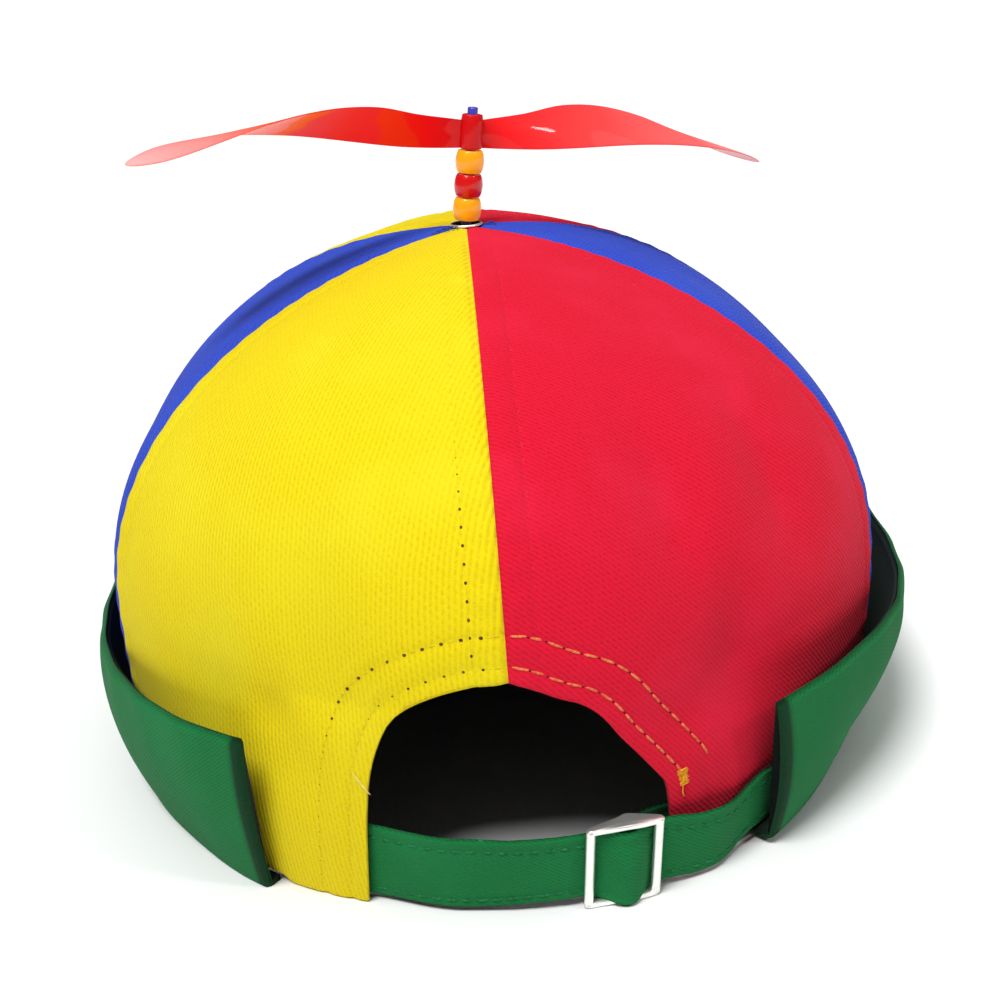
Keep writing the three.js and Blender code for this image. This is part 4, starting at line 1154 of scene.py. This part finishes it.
for row_panel in range(6):
    for from_start in (True, False):
        near_arch = (row_panel, from_start) in ((2, False), (3, True))
        lowest = 0.05 if near_arch else -0.93
        row_turn, row_level = seam_row(row_panel, from_start, SEAM_ROW, lowest)
        row_line, row_out = surface_line(row_turn, row_level, row_panel, 0.04)
        row_pull = smooth(row_level, 0.5, 0.25) * ((row_panel, from_start) == (2, False))
        threads, holes = sew(row_line, row_out, 3.4, 2.6, 0.18, 0.36, 0.15, row_pull)
        collect(TONAL[row_panel], threads)
        collect("holes_yellow", holes)

for edge_name in ("low", "high"):
    row_along = np.linspace(-STRAP_LEFT + 2, STRAP_RIGHT - 4, 300)
    row_low, row_high = strap_edges(row_along)
    row_z = row_low + 2.2 if edge_name == "low" else row_high - 3.0
    row_face = strap_centre(row_along) + STRAP_THICKNESS / 2 - 0.1
    row_middle, row_side_way = strap_point(row_along, row_face, row_z)
    threads, _ = sew(row_middle, row_side_way, 3.0, 2.6, 0.27)
    collect("green", threads)



def on_panel(across, up, panel, lift):
    """Places on a panel's dressed face that lie so far across and up, lifted a little, and their outward
    directions."""
    turn, level = place(np.array(across, float), np.array(up, float), panel)
    return surface_line(turn, level, panel, np.array(lift, float)[..., None])


def strand(points, radius, count=40):
    """Loose thread: a round section, thinner at both ends, carried along a rounded line."""
    line = through(points, count)
    heading = unit(np.gradient(line, axis=0))
    side = unit(np.cross(heading, np.array([0.3, 0.5, 1.0])))
    top = np.cross(heading, side)
    angle = np.linspace(0, 2 * math.pi, 7, endpoint=False)[None, :, None]
    share = np.linspace(-1, 1, count)
    thick = radius * np.maximum(1 - np.abs(share) ** 6, 0.25)[:, None, None]
    ring = side[:, None] * np.cos(angle) + top[:, None] * np.sin(angle)
    return as_triangles(line[:, None] + thick * ring)


def bar_tack(across, up, panel, length, radius, count):
    """Short threads laid side by side across a line, as where a row of stitches is locked."""
    share = np.linspace(0, 1, count)
    line, out = on_panel(
        across[0] + (across[1] - across[0]) * share, up[0] + (up[1] - up[0]) * share, panel, 0.12 + 0 * share
    )
    heading = unit(np.gradient(line, axis=0))
    sideways = unit(np.cross(heading, out))
    random = np.random.default_rng(7)
    long = length / 2 * random.uniform(0.8, 1.1, count)
    size = np.stack([long, radius + 0 * share, radius + 0 * share], axis=1)
    return instances(line, sideways, out, stitch_form, stitch_faces, size)


collect("tack", bar_tack((32.6, 33.0), (26.0, 22.6), 3, 2.5, 0.26, 9))
tail, _ = on_panel((32.7, 32.4, 32.9), (23.0, 21.0, 19.6), 3, (0.2, 0.5, 0.3))
collect("tack", strand(tail, 0.14))
loose, _ = on_panel((-30.8, -29.6, -28.4, -27.2), (31.6, 30.4, 29.3, 28.3), 2, (0.15, 0.4, 0.9, 1.2))
collect("pale", strand(loose, 0.13))
for start_turn, start_radius, end_turn, end_radius, curl in FRAY:
    fray_share = np.linspace(0, 1, 5)
    arch_up = np.sin(math.pi * fray_share)
    fray_turn = start_turn + (end_turn - start_turn) * fray_share + 8 * curl * arch_up
    fray_radius = start_radius + (end_radius - start_radius) * fray_share
    fray_level = level_at_radius(fray_turn, fray_radius)
    fray_panel = int(np.searchsorted(SEAMS, start_turn) - 1)
    fray_line, _ = surface_line(fray_turn, fray_level, fray_panel, (0.2 + 0.9 * curl * arch_up)[:, None])
    collect("fray", strand(fray_line, 0.13))

SEWN_FINISH = {
    "on_red": (THREAD_ON_RED, "red_twill"), "on_yellow": (THREAD_ON_YELLOW, "yellow_twill"),
    "tonal_red": (THREAD_TONAL_RED, "red_twill"), "on_blue": (THREAD_TONAL_BLUE, "blue_twill"),
    "green": (THREAD_GREEN, "green_twill"), "holes_red": (HOLE_SHADE_RED, "red_twill"),
    "holes_yellow": (HOLE_SHADE_YELLOW, "yellow_twill"), "tack": (THREAD_TACK, "red_twill"),
    "pale": (THREAD_PALE, "yellow_twill"), "fray": (THREAD_TONAL_BLUE, "blue_twill"),
}
for key, parts in sewn.items():
    sewn_points, sewn_faces = join(parts)
    put_mesh("stitches_" + key, sewn_points, clean_faces(sewn_faces), SEWN_FINISH[key][0], None, "hat")


# Metal

def metal(name, colour, roughness, inside=None):
    """Bright plated metal with fine scuffs, painted near black as shade where its attribute says inside."""
    finish = Finish(name, Metallic=0.86)
    scuff = finish.noise(700.0, 4.0)
    shade = finish.mix(scuff.between(0.5, 0.8) * 0.25, colour, (0.5, 0.49, 0.46, 1.0))
    if inside is not None:
        shade = finish.mix(finish.attribute("inside"), shade, inside)
    finish.feed("Base Color", shade)
    finish.feed("Roughness", scuff * 0.16 + roughness)
    finish.bump(scuff, 0.00003)
    return finish.material


NICKEL = metal("plated nickel", (0.97, 0.96, 0.92, 1.0), 0.24)
# The eyelet's inside colour is painted shade for the dark hole round the pin.
EYELET_METAL = metal("eyelet metal", (0.97, 0.96, 0.92, 1.0), 0.3, inside=(0.012, 0.011, 0.01, 1.0))


def slide_point(along, out, up):
    """Place on the slide. It is stiff, so all of it keeps the lean that the strap has at the slide's
    middle."""
    middle = (SLIDE_FOOT + SLIDE_HEIGHT) / 2
    high, _ = strap_point(np.array([SLIDE_ALONG]), np.zeros(1), np.array([SLIDE_HEIGHT]))
    low, _ = strap_point(np.array([SLIDE_ALONG]), np.zeros(1), np.array([SLIDE_FOOT]))
    lean = (high[0] - low[0]) / (SLIDE_HEIGHT - SLIDE_FOOT)
    point, _ = strap_point(along, out, middle + 0 * along)
    return point + (up - middle)[..., None] * lean


def slide_bar(along, out):
    """Upright bar of the slide: an oval section carried from plate to plate."""
    angle = np.linspace(0, 2 * math.pi, 24, endpoint=False)[None]
    z = np.linspace(SLIDE_FOOT + PLATE * 0.3, SLIDE_HEIGHT - PLATE * 0.3, 24)[:, None] + 0 * angle
    across = along + 1.08 * BAR_RADIUS * np.cos(angle) + 0 * z
    return slide_point(across, out + BAR_RADIUS * np.sin(angle) + 0 * z, z)


def slide_plate(z_middle):
    """End plate of the slide: an outline that bows out in front and narrows back to the middle bar, with its
    upper and lower edges rounded over."""
    front = BAR_RADIUS
    outline = through(np.array([
        (SLIDE_LEFT - front, LEFT_BAR_OUT), (SLIDE_LEFT - 0.6 * front, LEFT_BAR_OUT + 0.85 * front),
        (SLIDE_LEFT + 2, LEFT_BAR_OUT + 1.08 * front),
        (SLIDE_ALONG, (LEFT_BAR_OUT + RIGHT_BAR_OUT) / 2 + 1.25 * front),
        (SLIDE_RIGHT - 2, RIGHT_BAR_OUT + 1.08 * front),
        (SLIDE_RIGHT + 0.6 * front, RIGHT_BAR_OUT + 0.85 * front),
        (SLIDE_RIGHT + front, RIGHT_BAR_OUT), (SLIDE_RIGHT + 0.4 * front, RIGHT_BAR_OUT - front),
        (SLIDE_MIDDLE + 2 * front, MIDDLE_BAR_OUT - 0.4 * front),
        (SLIDE_MIDDLE, MIDDLE_BAR_OUT - 1.1 * front),
        (SLIDE_MIDDLE - 2 * front, MIDDLE_BAR_OUT - 0.4 * front),
        (SLIDE_LEFT - 0.4 * front, LEFT_BAR_OUT - front),
        (SLIDE_LEFT - front, LEFT_BAR_OUT),
    ]), 97)[:-1]
    rounding = np.linspace(-math.pi / 2, math.pi / 2, 9)
    inset = 0.45 * (1 - np.cos(rounding))[:, None, None]
    rings = outline[None] - unit(outline - outline.mean(axis=0))[None] * inset
    z = z_middle + PLATE / 2 * np.sin(rounding)[:, None] + 0 * rings[..., 0]
    return slide_point(rings[..., 0], rings[..., 1], z)


slide_parts = [
    as_triangles(part) for part in (
        slide_plate(SLIDE_FOOT + PLATE / 2), slide_plate(SLIDE_HEIGHT - PLATE / 2),
        slide_bar(SLIDE_LEFT, LEFT_BAR_OUT), slide_bar(SLIDE_MIDDLE, MIDDLE_BAR_OUT),
        slide_bar(SLIDE_RIGHT, RIGHT_BAR_OUT),
    )
]
slide_points, slide_faces = join(slide_parts)
put_mesh("slide", slide_points, clean_faces(slide_faces), NICKEL, "slide", "hat")


# Eyelet, pin, beads and propeller

TOP = np.array([APEX_SHIFT, 0, CROWN_HEIGHT])
LEAN = math.radians(POST_LEAN)


def lean_over(points):
    """Points round the post's own upright line, leaned with it and set on the crown's top."""
    x, y, z = points[..., 0], points[..., 1], points[..., 2]
    return TOP + np.stack([
        x * math.cos(LEAN) + z * math.sin(LEAN), y, -x * math.sin(LEAN) + z * math.cos(LEAN),
    ], axis=-1)


eyelet_top = GAP + FLANGE_HEIGHT
eyelet_bottom = -CLOTH - GAP - FLANGE_HEIGHT
eyelet_profile = np.array([
    (HOLE_RADIUS, eyelet_bottom + 0.2), (HOLE_RADIUS + 0.2, eyelet_bottom), (FLANGE, eyelet_bottom),
    (FLANGE, eyelet_bottom + 0.25), (HOLE_RADIUS + EYELET_WALL, eyelet_bottom + 0.3),
    (HOLE_RADIUS + EYELET_WALL, 0.0), (FLANGE - 0.3, 0.02), (FLANGE - 0.2, 0.15), (FLANGE - 0.24, 0.36),
    (3.6, eyelet_top - 0.3), (3.45, eyelet_top - 0.3), (3.3, 0.45), (HOLE_RADIUS + 0.1, 0.2),
    (HOLE_RADIUS, -0.2), (HOLE_RADIUS, -1.0),
])
points, faces = lathe(eyelet_profile[::-1], 72)
# Painted shade: the hole's wall and the inner edge of the rim are marked to go near black.
eyelet_hole_shade = smooth(np.hypot(points[:, 0], points[:, 1]), 3.5, 3.4)
put_mesh("eyelet", points + TOP, faces, EYELET_METAL, "eyelet", "hat", {"inside": eyelet_hole_shade})

BLUE_PLASTIC = plain_plastic(
    "blue plastic", linear(78, 76, 205), Coat_Weight=0.4, Coat_Roughness=0.08,
).material
# The beads' emission is a painted glow: it brightens their shaded sides in place of light passing through the
# plastic.
ORANGE_PLASTIC = plain_plastic(
    "orange plastic", linear(255, 172, 14), Coat_Weight=0.3, Coat_Roughness=0.1,
    Emission_Color=linear(255, 160, 14), Emission_Strength=0.42,
).material
BEAD_RED = plain_plastic(
    "red bead plastic", linear(226, 14, 12), Coat_Weight=0.35, Coat_Roughness=0.08,
    Emission_Color=linear(226, 14, 12), Emission_Strength=0.16,
).material

# Barrel of a bead from its lower to its upper end: radius share, up share
BEAD_OUTLINE = np.array([
    (0.8 * BEAD_END, 0), (0.95 * BEAD_END, 0.012), (BEAD_END, 0.05), (0.95, 0.2), (1, 0.42), (1, 0.58),
    (0.95, 0.8), (BEAD_END, 0.95), (0.95 * BEAD_END, 0.988), (0.8 * BEAD_END, 1),
])
bore = PIN_RADIUS + 0.12
pitch_up = BEAD_HEIGHT + GAP
bead_base = eyelet_top + BEAD_LIFT
hub_base = bead_base + 3 * pitch_up
for index, (bead_name, bead_finish, bead_slot) in enumerate((
    ("bead_bottom", ORANGE_PLASTIC, "orange_plastic"), ("bead_middle", BEAD_RED, "red_plastic"),
    ("bead_top", ORANGE_PLASTIC, "orange_plastic"),
)):
    start_z = bead_base + index * pitch_up
    side = through(BEAD_OUTLINE * np.array([BEAD_RADIUS, BEAD_HEIGHT]), 44) + np.array([0, start_z])
    low_z, high_z = side[0, 1], side[-1, 1]
    mouth = np.array([
        (bore + 0.15, high_z), (bore, high_z - 0.2), (bore, low_z + 0.2), (bore + 0.15, low_z),
    ])
    points, faces = lathe(np.vstack([side, mouth]), 72)
    put_mesh(bead_name, lean_over(points), faces, bead_finish, bead_name, bead_name)

pin_top = hub_base + HUB_HEIGHT + PIN_TIP
pin_profile = np.array([
    (0.001, pin_top), (PIN_RADIUS * 0.7, pin_top - 0.02), (PIN_RADIUS * 0.94, pin_top - 0.12),
    (PIN_RADIUS, pin_top - 0.35), (PIN_RADIUS, 4), (PIN_RADIUS, eyelet_bottom - 0.5),
    (4.5, eyelet_bottom - 0.55), (4.6, eyelet_bottom - 0.8), (4.6, eyelet_bottom - 1.5),
    (4.4, eyelet_bottom - 1.7), (0.001, eyelet_bottom - 1.7),
])
points, faces = lathe(pin_profile[::-1], 48)
put_mesh("pin", lean_over(points), faces, BLUE_PLASTIC, "pin", "hat")


def blade_points(flip):
    """Blade: a lens section carried out from the hub, whose width, pitch and rise follow the table, with a
    rounded tip. Out, side and height run along its own three directions."""
    out = BLADE[0, 0] + (1 - BLADE[0, 0]) * np.linspace(0, 1, 110) ** 0.9
    out = np.r_[out[:-1], 1 - 0.0002]
    tip = np.sqrt(1 - (np.maximum(out - 0.9, 0) / 0.1) ** 2 * 0.985)
    width = BLADE_WIDTH * rounded(BLADE, 1, out) * tip
    pitch = np.radians(rounded(BLADE, 2, out))[:, None]
    rise = BLADE_DROOP * rounded(BLADE, 3, out)[:, None]
    share = np.sin(np.linspace(-math.pi / 2, math.pi / 2, 27))
    half = BLADE_THICKNESS / 2 * (1 - 0.75 * np.abs(share) ** 1.5)
    half[[0, -1]] = 0.06
    side = np.r_[share, share[::-1][1:-1]]
    thick = np.r_[half, -half[::-1][1:-1]]
    camber = 0.35 * (1 - side**2)
    y = side[None] * width[:, None] / 2
    t = (thick + camber)[None] * np.minimum(1, width[:, None] / 6)
    z = hub_base + BLADE_SEAT + rise
    grid = np.stack([
        out[:, None] * BLADE_REACH + 0 * y,
        y * np.cos(pitch) - t * np.sin(pitch),
        z + y * np.sin(pitch) + t * np.cos(pitch),
    ], axis=-1)
    if flip:
        grid = grid * np.array([-1, -1, 1])
    place_out = np.broadcast_to(out[:, None] * (-1 if flip else 1), y.shape)
    return grid[:, ::-1], np.stack([place_out, np.broadcast_to(side[None], y.shape), 0 * y], axis=-1)[:, ::-1]


def hub_outline():
    """Hub: a short tube with a cone over its shoulder."""
    base, shoulder, top = hub_base, hub_base + HUB_SHOULDER, hub_base + HUB_HEIGHT
    return np.array([
        (bore, base + 0.1), (HUB_RADIUS * 0.86, base), (HUB_RADIUS * 0.97, base + 0.12),
        (HUB_RADIUS, base + 0.4),
        (HUB_RADIUS, shoulder - 0.12), (HUB_RADIUS * 0.985, shoulder), (HUB_TOP_RADIUS * 1.03, top - 0.3),
        (HUB_TOP_RADIUS * 0.97, top - 0.06), (HUB_TOP_RADIUS * 0.85, top), (bore, top), (bore, top - 0.5),
    ])


def propeller_finish():
    """Thin red plastic with a faint painted glow. Its colour runs from deep red at the hub to pale at the
    tips, amber along the left blade and coral along the right: painted light, as light falls on and through
    the two blades of the one plastic. Towards the edges it is mixed to a darker red."""
    finish = Finish("red propeller plastic", Coat_Weight=0.3, Coat_Roughness=0.05, Specular_IOR_Level=0.1,
                    Emission_Strength=0.38)
    out, side = finish.parts(finish.attribute("blade", "Vector"))
    cloud = finish.noise(30.0, 2.0)
    reach = out + (cloud - 0.5) * 0.12
    colour = finish.add("ShaderNodeValToRGB", {"stops": [
        (0.0, linear(250, 170, 168)), (0.1, linear(246, 140, 136)), (0.17, linear(255, 100, 70)),
        (0.24, linear(255, 66, 26)), (0.33, linear(255, 40, 18)), (0.43, linear(250, 12, 12)),
        (0.49, linear(206, 12, 16)), (0.51, linear(206, 12, 16)), (0.55, linear(246, 26, 30)),
        (0.62, linear(255, 48, 50)), (0.72, linear(255, 66, 66)),
        (0.86, linear(255, 104, 102)), (0.95, linear(255, 160, 158)), (1.0, linear(244, 120, 120)),
    ]}, {0: reach * 0.5 + 0.5})
    rim = (side * side).between(0.78, 1.0)
    colour = finish.mix(rim * 0.3, colour, linear(214, 24, 30))
    finish.feed("Base Color", colour)
    # The emission in the blade's own colour is a painted glow, in place of light through the thin plastic.
    finish.feed("Emission Color", colour)
    peel = finish.noise(160.0, 2.0)
    finish.feed("Roughness", peel * 0.14 + 0.4)
    finish.bump(peel, 0.0001)
    return finish.material


propeller_parts, blade_values = [], []
for flip in (False, True):
    blade_grid, blade_value = blade_points(flip)
    made_points, made_faces = as_triangles(blade_grid)
    propeller_parts.append((made_points, made_faces))
    ends = np.stack([blade_value[0].mean(axis=0), blade_value[-1].mean(axis=0)])
    blade_values.append(np.concatenate([blade_value.reshape(-1, 3), ends]))
hub_points, hub_faces = lathe(hub_outline(), 64)
propeller_parts.append((hub_points, hub_faces))
blade_values.append(hub_points * 0)
propeller_points, propeller_faces = join(propeller_parts)
heading = math.radians(BLADE_HEADING)
turned = np.stack([
    propeller_points[:, 0] * math.cos(heading) - propeller_points[:, 1] * math.sin(heading),
    propeller_points[:, 0] * math.sin(heading) + propeller_points[:, 1] * math.cos(heading),
    propeller_points[:, 2],
], axis=1)
put_mesh("propeller", lean_over(turned), clean_faces(propeller_faces), propeller_finish(), "propeller",
         "propeller", {"blade": np.concatenate(blade_values)})


# Camera, floor and light

def camera():
    """Camera at the photograph's place: distance, elevation, yaw and roll round a point 60 mm up the
    middle."""
    distance, elevation, yaw, roll = 384.15, math.radians(18.877), math.radians(-0.693), math.radians(-4.137)
    focal, centre_x, centre_y, image = 1572.51, 485.07, 456.30, 1000
    back = np.array([
        math.sin(yaw) * math.cos(elevation), -math.cos(yaw) * math.cos(elevation), math.sin(elevation),
    ])
    place_at = (np.array([0, 0, 60]) + SHIFT + back * distance) * MM
    right = unit(np.cross(-back, np.array([0, 0, 1.0])))
    up = np.cross(right, -back)
    rolled_right = right * math.cos(roll) + up * math.sin(roll)
    rolled_up = -right * math.sin(roll) + up * math.cos(roll)
    data = bpy.data.cameras.new("camera")
    data.sensor_width = 36
    data.lens = 36 * focal / image
    data.shift_x = (image / 2 - centre_x) / image
    data.shift_y = (centre_y - image / 2) / image
    data.clip_start, data.clip_end = 0.01, 50
    view = bpy.data.objects.new("camera", data)
    bpy.context.scene.collection.objects.link(view)
    matrix = np.eye(4)
    matrix[:3, 0], matrix[:3, 1], matrix[:3, 2], matrix[:3, 3] = rolled_right, rolled_up, back, place_at
    view.matrix_world = Matrix(matrix.tolist())
    bpy.context.scene.camera = view


def sun(name, turn, height, power, width):
    """Soft light from far off: its turn from the back towards +X and its height are in degrees, and so is how
    wide it looks."""
    data = bpy.data.lights.new(name, "SUN")
    data.energy, data.angle = power, math.radians(width)
    light = bpy.data.objects.new(name, data)
    bpy.context.scene.collection.objects.link(light)
    light.rotation_euler = (math.radians(90 - height), 0, math.radians(turn))


camera()
bpy.context.scene.view_settings.view_transform = "Standard"

floor_mesh = bpy.data.meshes.new("floor")
floor_mesh.from_pydata([(-12, -12, 0), (12, -12, 0), (12, 12, 0), (-12, 12, 0)], [], [(0, 1, 2, 3)])
floor = bpy.data.objects.new("floor", floor_mesh)
bpy.context.scene.collection.objects.link(floor)
floor_finish = Finish("pale floor", Base_Color=(0.84, 0.84, 0.84, 1), Roughness=0.9)
floor_mesh.materials.append(floor_finish.material)

world = bpy.data.worlds.new("studio")
bpy.context.scene.world = world
world.use_nodes = True
world.node_tree.nodes["Background"].inputs["Color"].default_value = (1, 1, 1, 1)
world.node_tree.nodes["Background"].inputs["Strength"].default_value = 0.1

sun("key", -28, 61, 2.9, 20)
sun("overhead", 0, 90, 1.1, 60)
sun("glint", 57, 42, 0.55, 7)
